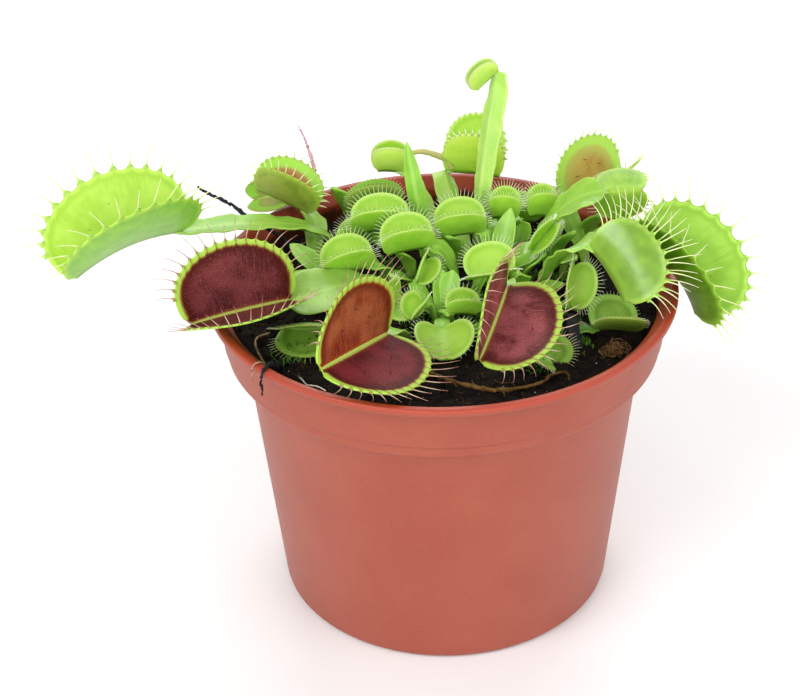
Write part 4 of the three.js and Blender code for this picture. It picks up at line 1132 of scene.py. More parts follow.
def add_strap(
    sheet: Sheet,
    path: np.ndarray,
    across: np.ndarray,
    half: np.ndarray,
    thick: np.ndarray,
    ripple: float,
    phase: float,
) -> None:
    """Adds a petiole or a blade: a strip folded a little along its vein, with a round edge each side.

    Args:
        sheet: the mesh that it goes into.
        path: its centre line.
        across: the way that its width lies at each point.
        half: half width at each point.
        thick: half thickness on the vein at each point.
        ripple: how far its edges wave, in mm.
        phase: where that wave starts.
    """
    along = tangents(path)
    flat = unit(across - along * np.sum(across * along, axis=1, keepdims=True))
    up = np.cross(along, flat)
    run = np.concatenate([[0], np.cumsum(np.linalg.norm(np.diff(path, axis=0), axis=1))])
    tight = np.abs(np.sum(np.gradient(along, run, axis=0) * flat, axis=1))
    half = np.minimum(half, 0.7 / np.maximum(tight, 0.01))  # so that no edge folds over on a sharp bend
    u = np.sin(np.linspace(-1, 1, 11) * math.pi / 2)
    w = half[:, None]
    wide = smooth(1.0, 2.0, half)[:, None]
    wave = ripple * np.sin(run * 0.9 + phase)[:, None] * smooth(0.3, 1.0, np.abs(u))[None, :] * wide
    wave = wave + ripple * 0.6 * np.sin(run * 1.7 + 2 * phase)[:, None] * u[None, :] ** 3 * wide
    fold = KEEL_FOLD * w * (np.sqrt(u**2 + 0.02) - 0.14)
    plate = WING_EDGE + (thick[:, None] - WING_EDGE) * np.exp(-((u[None, :] * w / 0.75) ** 2))
    plate = np.minimum(plate, w) * np.where(np.abs(u) > 0.999, 0.55, 1.0)
    stem = thick[:, None] * np.sqrt(np.clip(1 - u**2, 0.02, 1))
    level = stem * (1 - wide) + plate * wide
    middle = path[:, None] + flat[:, None] * (w * u)[..., None]
    top = middle + up[:, None] * (fold + wave + level * 0.8)[..., None]
    under = middle + up[:, None] * (fold + wave - level * 1.15)[..., None]
    ring = np.concatenate([top, under[:, ::-1]], axis=1)
    side = np.concatenate([w * u, (w * u)[:, ::-1]], axis=1)
    marks = np.stack([np.broadcast_to(run[:, None], side.shape), side, w - np.abs(side)], axis=-1)
    rows = sheet.add_points(ring, marks)
    sheet.add_grid(rows, Face.STALK, closed=True)
    sheet.add_faces(rows[0][None, :], Face.STALK)
    sheet.add_faces(rows[-1][None, :], Face.STALK)


@dataclass(frozen=True)
class Leaf:
    """A whole leaf: its petiole from the peat, and its trap."""

    name: str
    skin: Skin
    root: Span
    stalk: Stalk
    trap: Trap
    ripple: float = 0.2

    def add_stalk(self, sheet: Sheet, seed: int) -> None:
        """Adds the petiole, from under the peat to a point under the trap's midrib.

        Args:
            sheet: the mesh that it goes into.
            seed: what the wave of its edges starts from.
        """
        stalk, trap = self.stalk, self.trap
        along, mouth, _ = trap.axes()
        foot = np.array([*self.root, SOIL_LEVEL])
        end = np.array(trap.at)
        knots = np.array([foot, foot + [*stalk.lean, stalk.rise], end - along * stalk.arrive, end])
        level = level_across(foot, end)
        turn = trap.roll if stalk.turn is None else stalk.turn
        across = replace(trap, roll=turn).axes()[2]
        if across @ level < 0:
            level = -level
        s = np.linspace(0, 0.985, 34)
        path = bezier(knots, s) - mouth * (NECK_DROP * smooth(0.8, 1.0, s))[:, None]
        ends = trap.midrib(np.array([0.3, 0.9, BURIED]))
        path = np.vstack([foot - UP * ROOT_DEPTH, path, ends[0] - ends[2] * (NECK_DROP * 0.8)])
        side = np.vstack([level, level + (across - level) * (s**2)[:, None], [across] * 3])
        stout = max(stalk.thick, stalk.stem * 0.8)
        thick = np.concatenate([[stout], stout + (stalk.thick - stout) * s, stalk.thick * NECK_TAPER])
        half = np.concatenate([[stalk.stem], stalk.half_width(s), stalk.neck * NECK_TAPER])
        add_strap(sheet, path, side, half, thick, self.ripple, seed * 1.3)

    def build(self, seed: int, made: dict[str, bpy.types.Material]) -> bpy.types.Object:
        """Makes the leaf's mesh, dresses it and seats it in place of its CAD node.

        Args:
            seed: the seed of its shape.
            made: the materials that exist, by name.

        Returns:
            The seated piece.
        """
        sheet = Sheet()
        if self.skin is not DEAD:
            self.add_stalk(sheet, seed)
        self.trap.build(sheet, seed)
        piece = sheet.to_object(f"{self.name}_fine", self.skin.materials(made), weld=0.005)
        return seat(piece, self.skin.slot, self.name)


@dataclass(frozen=True)
class Blade:
    """A leaf without a trap yet: a strap that narrows to a point."""

    name: str
    root: Span
    tip: Point
    rise: float = 6.0
    width: float = 4.0
    stem: float = 0.7
    sag: float = 0.0
    faces: float | None = None
    skin: Skin = YOUNGER

    def add(self, sheet: Sheet, seed: int) -> None:
        """Adds the blade.

        Args:
            sheet: the mesh that it goes into.
            seed: the seed of its shape.
        """
        foot = np.array([*self.root, SOIL_LEVEL])
        end = np.array(self.tip)
        late = foot + (end - foot) * 0.7 + UP * self.sag
        knots = np.array([foot, foot + UP * self.rise, late, end])
        side = level_across(foot, end) if self.faces is None else bearing(math.radians(self.faces))
        s = np.linspace(0, 1, 30)
        bulge = np.sin(math.pi * np.minimum(1, s * 0.55 + 0.45 * s * s)) ** 0.8
        half = np.maximum(0.12, self.stem * (1 - s) + self.width / 2 * bulge)
        path = np.vstack([foot - UP * ROOT_DEPTH, bezier(knots, s)])
        thick = np.minimum(np.full(31, 0.42), np.concatenate([[self.stem], half]) * 0.9)
        half = np.concatenate([[self.stem], half])
        add_strap(sheet, path, np.broadcast_to(side, path.shape), half, thick, 0.12, seed * 1.7)

    def build(self, seed: int, made: dict[str, bpy.types.Material]) -> bpy.types.Object:
        """Makes the blade's mesh, dresses it and seats it in place of its CAD node.

        Args:
            seed: the seed of its shape.
            made: the materials that exist, by name.

        Returns:
            The seated piece.
        """
        sheet = Sheet()
        self.add(sheet, seed)
        piece = sheet.to_object(f"{self.name}_fine", self.skin.materials(made))
        return seat(piece, "leaf_green", self.name)


# ---------------------------------------------------------------- the leaves

YOUNG = Trap(
    at=(0, 0, 0), length=9, depth=7, open=(32, 32), tooth=1.9, over=1.5, curl=-10, shaft=0.055,
    cilia=25, scallop=0.1, cell=4, rows=9, hairs=False,
)
SMALL = replace(YOUNG, length=6, depth=5, open=(30, 30), tooth=1.2, over=1, shaft=0.05, cilia=15, rows=7)
YOUNG_STALK = Stalk(stem=0.7, width=5, neck=0.6, rise=5, arrive=3)
SMALL_STALK = Stalk(stem=0.6, width=3, neck=0.5, rise=4, arrive=2)

LEAVES = [
    Leaf(
        "west_pale_leaf", SATIN, (-20, 20), Stalk(width=7, rise=10, arrive=16, turn=0),
        Trap((-50, 7.5, 74.5), 214, 14, bend=40, length=23.5, depth=14, open=(38, 31), cup=20, tooth=7.5,
             curl=6, over=3, cilia=15, scallop=0.9),
    ),
    Leaf(
        "west_red_leaf", MAROON, (-10, 4), Stalk(width=11, rise=7, arrive=6),
        Trap((-29, -9.5, 68), 198, roll=27, bend=12, length=18.5, depth=14, open=(40, 40), cup=20,
             tooth=5.5, curl=14, over=3, cilia=19, scallop=0.5, shaft=0.11, tuck=(30, 0), ticks=True),
    ),
    Leaf(
        "front_left_red_leaf", MAROON_BACKLIT_AND_SHADED, (-7, -15), Stalk(width=4, rise=4, arrive=4, turn=0),
        Trap((-11, -23, 68.5), 236, 10, 50, bend=6, length=19, depth=13.5, open=(52, 52), cup=15, tooth=6,
             curl=14, over=3, cilia=18, scallop=0.45, shaft=0.1, ticks=True),
    ),
    Leaf(
        "front_right_red_leaf", MAROON_LIT, (9, -6), Stalk(width=4, rise=9, arrive=3, turn=0),
        Trap((11, -17, 74), 252, -18, 45, bend=8, length=16.5, depth=12.5, open=(42, 42), cup=20, tooth=5,
             curl=16, over=3, cilia=18, scallop=0.45, shaft=0.1, tuck=(0, 30), ticks=True),
    ),
    Leaf(
        "east_closed_leaf", GLOSSY, (19, 1), Stalk(width=7.5, rise=9, arrive=2, turn=-25),
        Trap((27, -12, 79.5), 320, -34, 47, bend=20, length=12, depth=10.5, open=(12, 12), cup=60, pinch=4,
             tooth=7.5, curl=0, over=2, interlock=0.25, cilia=14, hairs=False),
    ),
    Leaf(
        "east_pale_leaf", SHADED, (24, 10), Stalk(width=7, rise=9, arrive=6, turn=-25),
        Trap((38, 3, 71), 322, -8, bend=62, length=18, depth=13, open=(31, 31), cup=20, tooth=7, curl=6,
             over=2, cilia=15, scallop=0.8),
    ),
    Leaf(
        "northeast_amber_leaf", AMBER, (29, 14), Stalk(width=4, rise=4, arrive=1.5, turn=0),
        Trap((26, 23, 69), 38, 14, -12, bend=12, length=15, depth=11, open=(30, 38), tooth=3, over=1.5,
             cilia=16),
    ),
    Leaf(
        "northeast_lime_leaf", AMBER, (17, 13), Stalk(width=8, rise=8, arrive=6, turn=-25),
        Trap((31, 8, 80), 3, roll=122, bend=15, length=7.5, depth=7.5, open=(40, 40), cup=30, tooth=3,
             over=1.5, cilia=14, scallop=0.3),
    ),
    Leaf(
        "northwest_leaf", ROSE, (-25, 13), Stalk(width=5, rise=4.5, lean=(-1, 5), arrive=4, turn=0, stem=0.7),
        Trap((-26.5, 25.5, 68), 167, 32, bend=15, length=11, depth=8.5, open=(24, 24), tooth=2.5, over=2,
             cilia=15, scallop=0.35),
    ),
    Leaf(
        "northwest_low_leaf", BLUSH, (-25, 27), Stalk(width=3, rise=4, arrive=1, turn=0, stem=0.6, neck=0.6),
        replace(YOUNG, at=(-30, 33, 68.5), heading=185, pitch=-5, roll=55, length=7.5, depth=6,
                open=(35, 35), tooth=1),
    ),
    Leaf(
        "strap_leaf", THIN, (8, 20),
        Stalk(stem=1.5, width=5, widest=0.6, rise=22, arrive=2, turn=0, neck=0.9),
        replace(YOUNG, at=(12, 28, 97), heading=193, pitch=-34, bend=10, length=5.5, depth=3.8,
                open=(15, 15), cup=40, pinch=0, tooth=0.5, over=1, curl=5),
    ),
    Leaf(
        "back_pale_leaf", THIN, (6, 14), Stalk(width=5, rise=5, arrive=2, turn=0, neck=0.8),
        Trap((2, 35, 72), 355, roll=13, bend=10, length=11, depth=14, open=(45, 45), cup=20, tooth=1.2,
             over=1, cilia=16, cell=4),
    ),
    Leaf(
        "back_bud_leaf", THIN, (0, 22), Stalk(width=4, rise=5, arrive=2.5, turn=0),
        replace(YOUNG, at=(-7, 32, 73.5), heading=180, pitch=16, bend=20, length=5, depth=6, open=(18, 18),
                cup=40, tooth=0.5),
    ),
    Leaf(
        "back_grey_leaf", DEEP, (-6, 23), replace(YOUNG_STALK, rise=3),
        replace(YOUNG, at=(-8, 28, 68), heading=178, pitch=3, bend=25, depth=5.5, open=(15, 15), cup=40,
                tooth=1),
    ),
    Leaf(
        "rear_leaf_left", YOUNGER, (-9, 20), replace(YOUNG_STALK, rise=1.5),
        replace(YOUNG, at=(-13, 23, 62.8), heading=175, pitch=5, length=6, depth=4.5),
    ),
    Leaf(
        "rear_leaf_right", YOUNGER, (10, 26), replace(YOUNG_STALK, rise=1.5),
        replace(YOUNG, at=(13, 28, 63), heading=10, pitch=8, length=7, depth=6),
    ),
    Leaf(
        "young_leaf_1", YOUNGER, (1, 9.5), replace(YOUNG_STALK, rise=4, turn=25),
        replace(YOUNG, at=(-7, 15, 69.5), heading=178, pitch=5),
    ),
    Leaf(
        "young_leaf_2", YOUNGER, (3, 4.5), replace(YOUNG_STALK, width=4.5, turn=20),
        replace(YOUNG, at=(-2, 7, 69.8), heading=188, pitch=5, length=8.5, over=1),
    ),
    Leaf(
        "young_leaf_3", YOUNGER, (9.5, 9.5), replace(YOUNG_STALK, turn=25),
        replace(YOUNG, at=(8, 12, 70), heading=180, pitch=3, length=7.5),
    ),
    Leaf(
        "young_leaf_4", YOUNGER, (-11, 8), replace(YOUNG_STALK, rise=4),
        replace(YOUNG, at=(-13.5, 5, 67), heading=192, length=8.5, over=1),
    ),
    Leaf(
        "young_leaf_5", YOUNGER, (14, 13), YOUNG_STALK,
        replace(YOUNG, at=(15, 17, 70), heading=174, pitch=15, length=4.5, over=0.8, depth=6, open=(20, 20)),
    ),
    Leaf(
        "young_leaf_6", YOUNGER, (21, 15), replace(YOUNG_STALK, arrive=1.5),
        replace(YOUNG, at=(22.5, 18, 70), heading=185, pitch=15, length=4.5, over=0.8, depth=6,
                open=(20, 20)),
    ),
    Leaf(
        "young_leaf_7", YOUNGER, (14, 1), YOUNG_STALK,
        replace(YOUNG, at=(13, -3, 69.5), heading=183, roll=15, length=7.5, depth=6, open=(45, 45)),
    ),
    Leaf(
        "young_leaf_8", YOUNGER, (11, 4), replace(YOUNG_STALK, turn=-30),
        replace(YOUNG, at=(18, 4.5, 70.5), heading=15, pitch=48, roll=-60, length=5, depth=4, open=(26, 26)),
    ),
    Leaf(
        "young_leaf_9", YOUNGER, (23, -5), YOUNG_STALK,
        replace(YOUNG, at=(23.5, -9, 66), heading=60, pitch=60, roll=-50, length=6.5, depth=5, open=(40, 40)),
    ),
    Leaf(
        "soil_leaf_east", DEEP, (21, -14), replace(YOUNG_STALK, rise=1.5, arrive=4),
        replace(YOUNG, at=(28, -13, 62.5), heading=8, roll=10, open=(55, 55), depth=7.5, length=8, over=1,
                tooth=1.2),
    ),
    Leaf(
        "soil_leaf_south", DEEP, (13, -17), replace(YOUNG_STALK, rise=1.5, arrive=2),
        replace(YOUNG, at=(16, -20, 62.3), heading=310, open=(60, 60), depth=5.5, length=6),
    ),
    Leaf(
        "soil_leaf_west", DEEP, (-16, -9), replace(YOUNG_STALK, rise=1.5, arrive=3),
        replace(YOUNG, at=(-21, -10, 62.7), heading=187, roll=76, open=(20, 20), depth=9, tooth=2.2),
    ),
    Leaf(
        "dead_trap", DEAD, (25, -18), SMALL_STALK,
        replace(SMALL, at=(25, -18, 61.8), heading=110, pitch=50, roll=60, length=5, depth=4, open=(12, 12),
                cup=50, tooth=0.8, cilia=9),
    ),
]

BLADES = [
    Blade("west_blade", (-13, 3), (-30, 6, 65), rise=3, sag=1.5),
    Blade("north_blade", (-3, 18), (-6, 24, 84), rise=8, width=3, faces=0),
    Blade("middle_blade", (11, 7), (14, 14, 74)),
    Blade("east_blade", (15, -4), (23, -4, 67), rise=5, sag=1),
    Blade("middle_blade_low", (6.5, 1), (9, 1.5, 67.5), rise=4, width=5, sag=1),
    Blade("middle_blade_left", (-5, 4.5), (-10, 1, 67), rise=4, sag=1),
    Blade("east_blade_low", (17.5, -9.5), (20, -14.5, 65.5), rise=3, sag=1),
    Blade("east_blade_back", (20, 8), (26, 2, 69), rise=4, width=5, sag=1),
    Blade("west_blade_low", (-22.5, 8), (-29.5, 12.5, 68), rise=3, width=4.5, sag=1),
    Blade("west_blade_back", (-16.5, 14), (-20, 17, 68.5), rise=4, width=5, sag=1),
    Blade("south_blade", (4, -13.5), (8, -15, 64.5), rise=2, sag=0.5),
]


@dataclass(frozen=True)
class Rosette:
    """The young leaves in the middle, which all grow from one rhizome."""

    crown: Point = (0, -7, SOIL_LEVEL)
    radius: float = 2.4
    leaves: tuple[tuple[Span, Trap], ...] = (
        ((-1.2, -5.8), replace(SMALL, at=(-5, 0, 66), heading=60, pitch=30, roll=-50, length=5, depth=4.2)),
        ((1.5, -7.3), replace(SMALL, at=(1, -10, 65), heading=10, length=5, depth=4.5)),
        ((0.1, -8.7),
         replace(SMALL, at=(-0.5, -14.5, 63.8), heading=274, length=8, depth=6.2, open=(62, 62))),
        ((-1.6, -7.2), replace(SMALL, at=(-4, -8, 65.5), heading=240, length=4.5, depth=4, open=(35, 35))),
        ((-1.4, -6.5), replace(SMALL, at=(-8, -4, 65), heading=255, roll=40, depth=5.5, open=(50, 50))),
    )
    blades: tuple[Blade, ...] = (
        Blade("", (0.9, -5.6), (2, -2, 69.5), rise=7, width=3.5, sag=1),
        Blade("", (-0.2, -6.1), (0, 1, 68), rise=4, width=3, sag=1),
    )

    def build(self, made: dict[str, bpy.types.Material]) -> bpy.types.Object:
        """Makes the rosette as one mesh and seats it in place of its CAD node.

        Args:
            made: the materials that exist, by name.

        Returns:
            The seated piece.
        """
        sheet = Sheet()
        for seed, (root, trap) in enumerate(self.leaves):
            Leaf("", YOUNGER, root, replace(SMALL_STALK, turn=0), trap).add_stalk(sheet, seed + 60)
            trap.build(sheet, seed + 60)
        for seed, blade in enumerate(self.blades):
            blade.add(sheet, seed + 80)
        s = np.linspace(0, 1, 9)
        path = np.array(self.crown) + UP * (-3 + 5 * s)[:, None]
        half = self.radius * np.sqrt(np.clip(1 - s**4, 0.01, 1))[:, None]
        marks = np.stack([s, 0 * s, 0 * s + 1], axis=-1)
        sheet.add_tube(path, half, EAST, Face.STALK, 20, marks)
        piece = sheet.to_object("centre_rosette_fine", YOUNGER.materials(made), weld=0.005)
        return seat(piece, "leaf_lime", "centre_rosette")


@dataclass(frozen=True)
class ShortBlades:
    """The shortest blades, which fill gaps between the stalks and are too small for nodes of their own."""

    blades: tuple[Blade, ...] = (
        Blade("", (-6, 11), (-9, 7, 69), rise=4, sag=1),
        Blade("", (-18, 33), (-21, 28.5, 72), rise=5, width=4.5, sag=1),
        Blade("", (3, 14.5), (1.5, 10.5, 70), rise=5, sag=1),
        Blade("", (15, 4), (20, 2.5, 70), rise=5, width=4.5, sag=1),
        Blade("", (23, 14), (26, 9, 71), rise=5, sag=1),
        Blade("", (29.5, 21), (32, 16, 71), rise=5, width=4.5, sag=1),
        Blade("", (10.5, 1.5), (12.5, 0, 69), rise=5, sag=0.5),
    )

    def build(self, made: dict[str, bpy.types.Material]) -> bpy.types.Object:
        """Makes the blades as one mesh that rides with the plant.

        Args:
            made: the materials that exist, by name.

        Returns:
            The seated piece.
        """
        sheet = Sheet()
        for seed, blade in enumerate(self.blades):
            blade.add(sheet, seed + 100)
        return seat(sheet.to_object("short_blades", YOUNGER.materials(made)), "leaf_green")


# ---------------------------------------------------------------- pot and peat


@dataclass(frozen=True)
class Pot:
    """A nursery pot: a tapered body under a stepped collar with a rolled lip, and holes in its base."""

    segments: int = 160
    wall: float = 1.2
    drain_count: int = 8
    drain_radius: float = 3.2
    drain_ring: float = 25.0
    # Corners of half a section as radius, height and how far from the corner the rounding starts.
    corners: tuple[Point, ...] = (
        (33.1, 0, 1.5), (38.4, 52.9, 0.5), (41.4, 53.9, 0.5), (42.0, 54.5, 0.3), (42.0, 56.3, 0.3),
        (42.5, 56.7, 0.3),
        (42.6, 64.7, 0.25), (45, 64.7, 0.5), (45, 66.3, 0.6), (43.6, 66.3, 0.4), (41.4, 64.1, 0.5),
        (40.8, 54.7, 0.4), (37.2, 52.7, 0.6), (31.9, 1.2, 1.2),
    )

    def section(self) -> np.ndarray:
        """Half a section with rounded corners, from under the middle to the floor inside.

        Returns:
            Its radius and height at each point, in mm.
        """
        line = [(0.0, 0.0)]
        ring = [(0.0, 0.0, 0.0), *self.corners, (0.0, self.wall, 0.0)]
        for before, (r, z, reach), after in zip(ring, self.corners, ring[2:]):
            here = np.array([r, z])
            start = here + unit(np.array(before[:2]) - here) * reach
            end = here + unit(np.array(after[:2]) - here) * reach
            for s in (0.0, 0.25, 0.5, 0.75, 1.0):
                line.append(tuple((1 - s) ** 2 * start + 2 * s * (1 - s) * here + s * s * end))
        return np.array([*line, (0.0, self.wall)])

    def build(self) -> bpy.types.Object:
        """Turns the section round, drills the base, and seats the pot in place of its CAD node.

        Returns:
            The seated piece.
        """
        line = self.section()
        turn = np.arange(self.segments) * 2 * math.pi / self.segments
        sheet = Sheet()
        points = line[:, :1, None] * bearing(turn) + line[:, 1:, None] * UP
        sheet.add_grid(sheet.add_points(points), 0, closed=True)
        shell = sheet.to_object("pot_fine", [TERRACOTTA.material()], weld=0.01)
        drills = Sheet()
        for i in range(self.drain_count):
            at = bearing((i + 0.5) / self.drain_count * 2 * math.pi) * self.drain_ring
            drills.add_tube(at + UP * np.array([[-3.0], [0.0], [3.0]]), self.drain_radius, EAST, sides=32)
        drill = drills.to_object("drills", [])
        cut = shell.modifiers.new("drains", "BOOLEAN")
        cut.operation, cut.object, cut.solver = "DIFFERENCE", drill, "EXACT"
        graph = bpy.context.evaluated_depsgraph_get()
        mesh = bpy.data.meshes.new_from_object(shell.evaluated_get(graph))
        shell.modifiers.clear()
        shell.data = mesh
        bpy.data.objects.remove(drill)
        mesh.set_sharp_from_angle(angle=math.radians(40))
        return seat(shell, "pot_plastic", "pot")


@dataclass(frozen=True)
class Bed:
    """The peat: a crumbly top over a plug that fills the pot, with crumbs, fibres and a few pale grains."""

    level: float = SOIL_LEVEL
    edge: float = 41.0
    spokes: int = 260
    rings: int = 105
    lumps: int = 1700
    crumbs: int = 2600
    fibres: int = 420
    grit: int = 230
    plug: tuple[Span, ...] = ((40.7, 55.0), (37.0, 52.4), (31.8, 1.6), (0.01, 1.5))  # radius and height
    crumb_faces: tuple[tuple[int, ...], ...] = (
        (0, 1, 2), (1, 3, 2), (3, 4, 2), (4, 0, 2), (1, 0, 5), (3, 1, 5), (4, 3, 5), (0, 4, 5),
    )
    lump_rise: float = 0.34  # how high a lump is, as a share of its reach
    highest: float = 1.7  # how far the lumps may stand above the level
    sunk_edge: float = 0.8  # how far the peat is washed down at the wall
    seed: int = 11

    def heights(self, xy: np.ndarray, rng: np.random.Generator) -> np.ndarray:
        """The height of the top at points in plan.

        Args:
            xy: the points.
            rng: the source of its random draws.

        Returns:
            The heights in mm.
        """
        z = np.full(xy.shape[:-1], self.level)
        for wave in (14.0, 7.0, 3.5):
            turn, phase = rng.uniform(0, 2 * math.pi, 2)
            z = z + wave * 0.03 * np.sin(xy @ bearing(turn)[:2] * 2 * math.pi / wave + phase)
        at = rng.uniform(-self.edge, self.edge, (self.lumps, 2))
        size = 0.5 + 2.3 * rng.uniform(0, 1, self.lumps) ** 2
        for middle, reach in zip(at, size):
            off = np.sum((xy - middle) ** 2, axis=-1) / reach**2
            lump = np.clip(1 - off, 0, 1) ** 0.7 * rng.uniform(0.3, 1)
            z = np.maximum(z, z + reach * self.lump_rise * lump)
        washed = smooth(self.edge - 2.5, self.edge, np.linalg.norm(xy, axis=-1))
        return np.minimum(z, self.level + self.highest) - self.sunk_edge * washed

    def add_top(self, sheet: Sheet, rng: np.random.Generator) -> None:
        """Adds the closed body of the peat.

        Args:
            sheet: the mesh that it goes into.
            rng: the source of its random draws.
        """
        turn = np.arange(self.spokes) * 2 * math.pi / self.spokes
        radius = self.edge * np.sqrt(np.linspace(1.0, 0.0002, self.rings))[:, None]
        top = radius[..., None] * bearing(turn)
        top[..., 2] = self.heights(top[..., :2], rng) + rng.normal(0, 0.11, top.shape[:-1])
        rows = [r * bearing(turn) + UP * h for r, h in self.plug[::-1]]
        sheet.add_grid(sheet.add_points(np.concatenate([rows, top])), 0, closed=True)

    def scatter(self, count: int, reach: float, rng: np.random.Generator) -> np.ndarray:
        """Points spread evenly over the top, out to a radius.

        Args:
            count: how many points.
            reach: the radius in mm.
            rng: the source of its random draws.

        Returns:
            The points, one a row.
        """
        out = reach * np.sqrt(rng.uniform(0, 1, count))
        spots = out[:, None] * bearing(rng.uniform(0, 2 * math.pi, count))
        spots[:, 2] = self.heights(spots[:, :2], np.random.default_rng(self.seed + 1))
        return spots

    def add_crumb(
        self, sheet: Sheet, at: np.ndarray, size: float, slot: int, rng: np.random.Generator
    ) -> None:
        """Adds one loose crumb: a ragged block with six corners.

        Args:
            sheet: the mesh that it goes into.
            at: its middle.
            size: about half its width, in mm.
            slot: its material slot.
            rng: the source of its random draws.
        """
        corners = np.vstack([np.eye(3), -np.eye(3)])
        corners = corners * rng.uniform(0.5, 1.1, (6, 1)) * rng.uniform(0.6, 1.2, 3)
        spin = np.array(Matrix.Rotation(rng.uniform(0, 6.28), 3, rng.normal(size=3).tolist()))
        sheet.add_faces(sheet.add_points(at + corners @ spin * size)[np.array(self.crumb_faces)], slot)

    def build(self) -> bpy.types.Object:
        """Makes the peat with all that lies on it, and seats it in place of its CAD node.

        Returns:
            The seated piece.
        """
        rng = np.random.default_rng(self.seed)
        shape = np.random.default_rng(self.seed + 1)
        sheet = Sheet()
        self.add_top(sheet, shape)
        for slot, count, low, high in ((1, self.crumbs, 0.15, 0.7), (3, self.grit, 0.1, 0.26)):
            for spot in self.scatter(count, self.edge - 1.2, rng):
                size = low + (high - low) * rng.uniform() ** 2
                self.add_crumb(sheet, spot + UP * size * 0.25, size, slot, rng)
        s = np.linspace(-1, 1, 5)[:, None]
        for spot in self.scatter(self.fibres, self.edge - 2.5, rng):
            way = unit(rng.normal(size=3) * [1, 1, 0.25])
            bow = unit(rng.normal(size=3) * [1, 1, 0.5])
            reach = rng.uniform(0.6, 2.2)
            path = spot + UP * 0.25 + way * s * reach + bow * (1 - s * s) * reach * 0.35
            sheet.add_tube(path, rng.uniform(0.035, 0.09), np.array([0.3, 0.2, 1.0]), 2, 4)
        materials = [finish.material() for finish in (PEAT, CRUMB, FIBRE, GRIT)]
        return seat(sheet.to_object("peat_fine", materials, weld=0.002), "peat", "soil")


# ---------------------------------------------------------------- dead and loose pieces


@dataclass(frozen=True)
class Strand:
    """A stem, a root or a shred: an uneven tube along a path, with side shoots."""

    name: str
    finish: Earth
    slot: str
    points: tuple[Point, ...]
    radius: float
    tip: float
    uneven: float = 0.15
    shoots: int = 0
    shoot_mm: float = 3.0
    replaces: str = ""
    seed: int = 1

    def build(self) -> bpy.types.Object:
        """Makes the strand and seats it.

        Returns:
            The seated piece.
        """
        rng = np.random.default_rng(self.seed)
        path = through(list(self.points), 8 * len(self.points))
        s = np.linspace(0, 1, len(path))
        path = path + rng.normal(0, self.radius * self.uneven * 0.6, path.shape)
        half = self.radius + (self.tip - self.radius) * s**1.3
        half = half * (1 + self.uneven * rng.normal(size=len(s)))
        sheet = Sheet()
        sheet.add_tube(path, np.stack([half, half * 0.85], axis=-1), UP + 0.1, sides=10)
        for _ in range(self.shoots):
            i = int(rng.integers(2, len(path) - 2))
            way = unit(rng.normal(size=3) * [1, 1, 0.25])
            u = np.linspace(0, 1, 6)[:, None]
            shoot = path[i] + way * u * self.shoot_mm * rng.uniform(0.4, 1) + rng.normal(0, 0.12, (6, 3)) * u
            sheet.add_tube(shoot, half[i] * 0.35 * (1 - 0.8 * u), UP + 0.1, sides=5)
        piece = sheet.to_object(self.name, [self.finish.material()])
        return seat(piece, self.slot, *([self.replaces] if self.replaces else []))


@dataclass(frozen=True)
class Tangle:
    """A tuft of dry moss: many short curled strands in a flat lump."""

    middle: Point = (31, -20.5, 62.3)
    half: Point = (2.9, 1.9, 1.3)
    strands: int = 110
    seed: int = 5

    def build(self) -> bpy.types.Object:
        """Makes the tuft and seats it in place of its CAD node.

        Returns:
            The seated piece.
        """
        rng = np.random.default_rng(self.seed)
        sheet = Sheet()
        u = np.linspace(0, 1, 9)[:, None]
        for _ in range(self.strands):
            at = np.array(self.middle) + np.clip(rng.normal(0, 0.45, 3), -1, 1) * self.half
            a, b = unit(rng.normal(size=3)), unit(rng.normal(size=3))
            curl = rng.uniform(2, 6)
            reach = rng.uniform(0.4, 0.9)
            path = at + reach * (a * np.cos(curl * u) + b * np.sin(curl * u) + np.cross(a, b) * u * 0.8)
            half = rng.uniform(0.05, 0.1) * (1 - 0.5 * u)
            sheet.add_tube(path, half, unit(rng.normal(size=3)), sides=4)
        return seat(sheet.to_object("moss_fine", [MOSS.material()]), "dry_moss", "moss_tangle")


@dataclass(frozen=True)
class MossCarpet:
    """Short green moss on the peat, in loose patches between the leaf stalks."""

    patches: tuple[Point, ...] = (  # x, y and radius of each, in mm
        (5, 1, 7), (12, -4, 6), (-12, -2, 5), (-3, -6, 5), (-28, -17, 4), (24, -15, 4), (17, -23, 3),
        (20, 6, 5), (-20, 6, 4), (-5, 5, 6), (4, -9, 4), (15, 10, 6), (-11, 12, 5),
    )
    shoots: int = 80  # in each patch
    seed: int = 21

    def build(self) -> bpy.types.Object:
        """Makes all the moss as one mesh and seats it.

        Returns:
            The seated piece.
        """
        rng = np.random.default_rng(self.seed)
        sheet = Sheet()
        bed = Bed()
        u = np.linspace(0, 1, 3)[:, None]
        for x, y, reach in self.patches:
            xy = np.array([x, y]) + rng.normal(0, 0.5, (self.shoots, 2)) * reach
            z = bed.heights(xy, np.random.default_rng(bed.seed + 1))
            for spot, height in zip(xy, z):
                tall = rng.uniform(0.7, 2.2)
                foot = np.array([*spot, height - 0.2])
                way = unit(rng.normal(size=3) * 0.35 + UP)
                sheet.add_tube(foot + way * u * tall, 0.07, EAST, sides=3)
                for k in range(5):
                    leaf = unit(way * 0.8 + bearing(rng.uniform(0, 2 * math.pi)))
                    at = foot + way * tall * (0.3 + 0.17 * k)
                    half = np.hstack([0.13 * (1 - u) + 0.02, 0.04 * (1 - 0.5 * u)])
                    sheet.add_tube(at + leaf * u * 0.55, half, np.cross(leaf, UP), sides=4)
        return seat(sheet.to_object("green_moss", [GREEN_MOSS.material()]), "dry_moss")


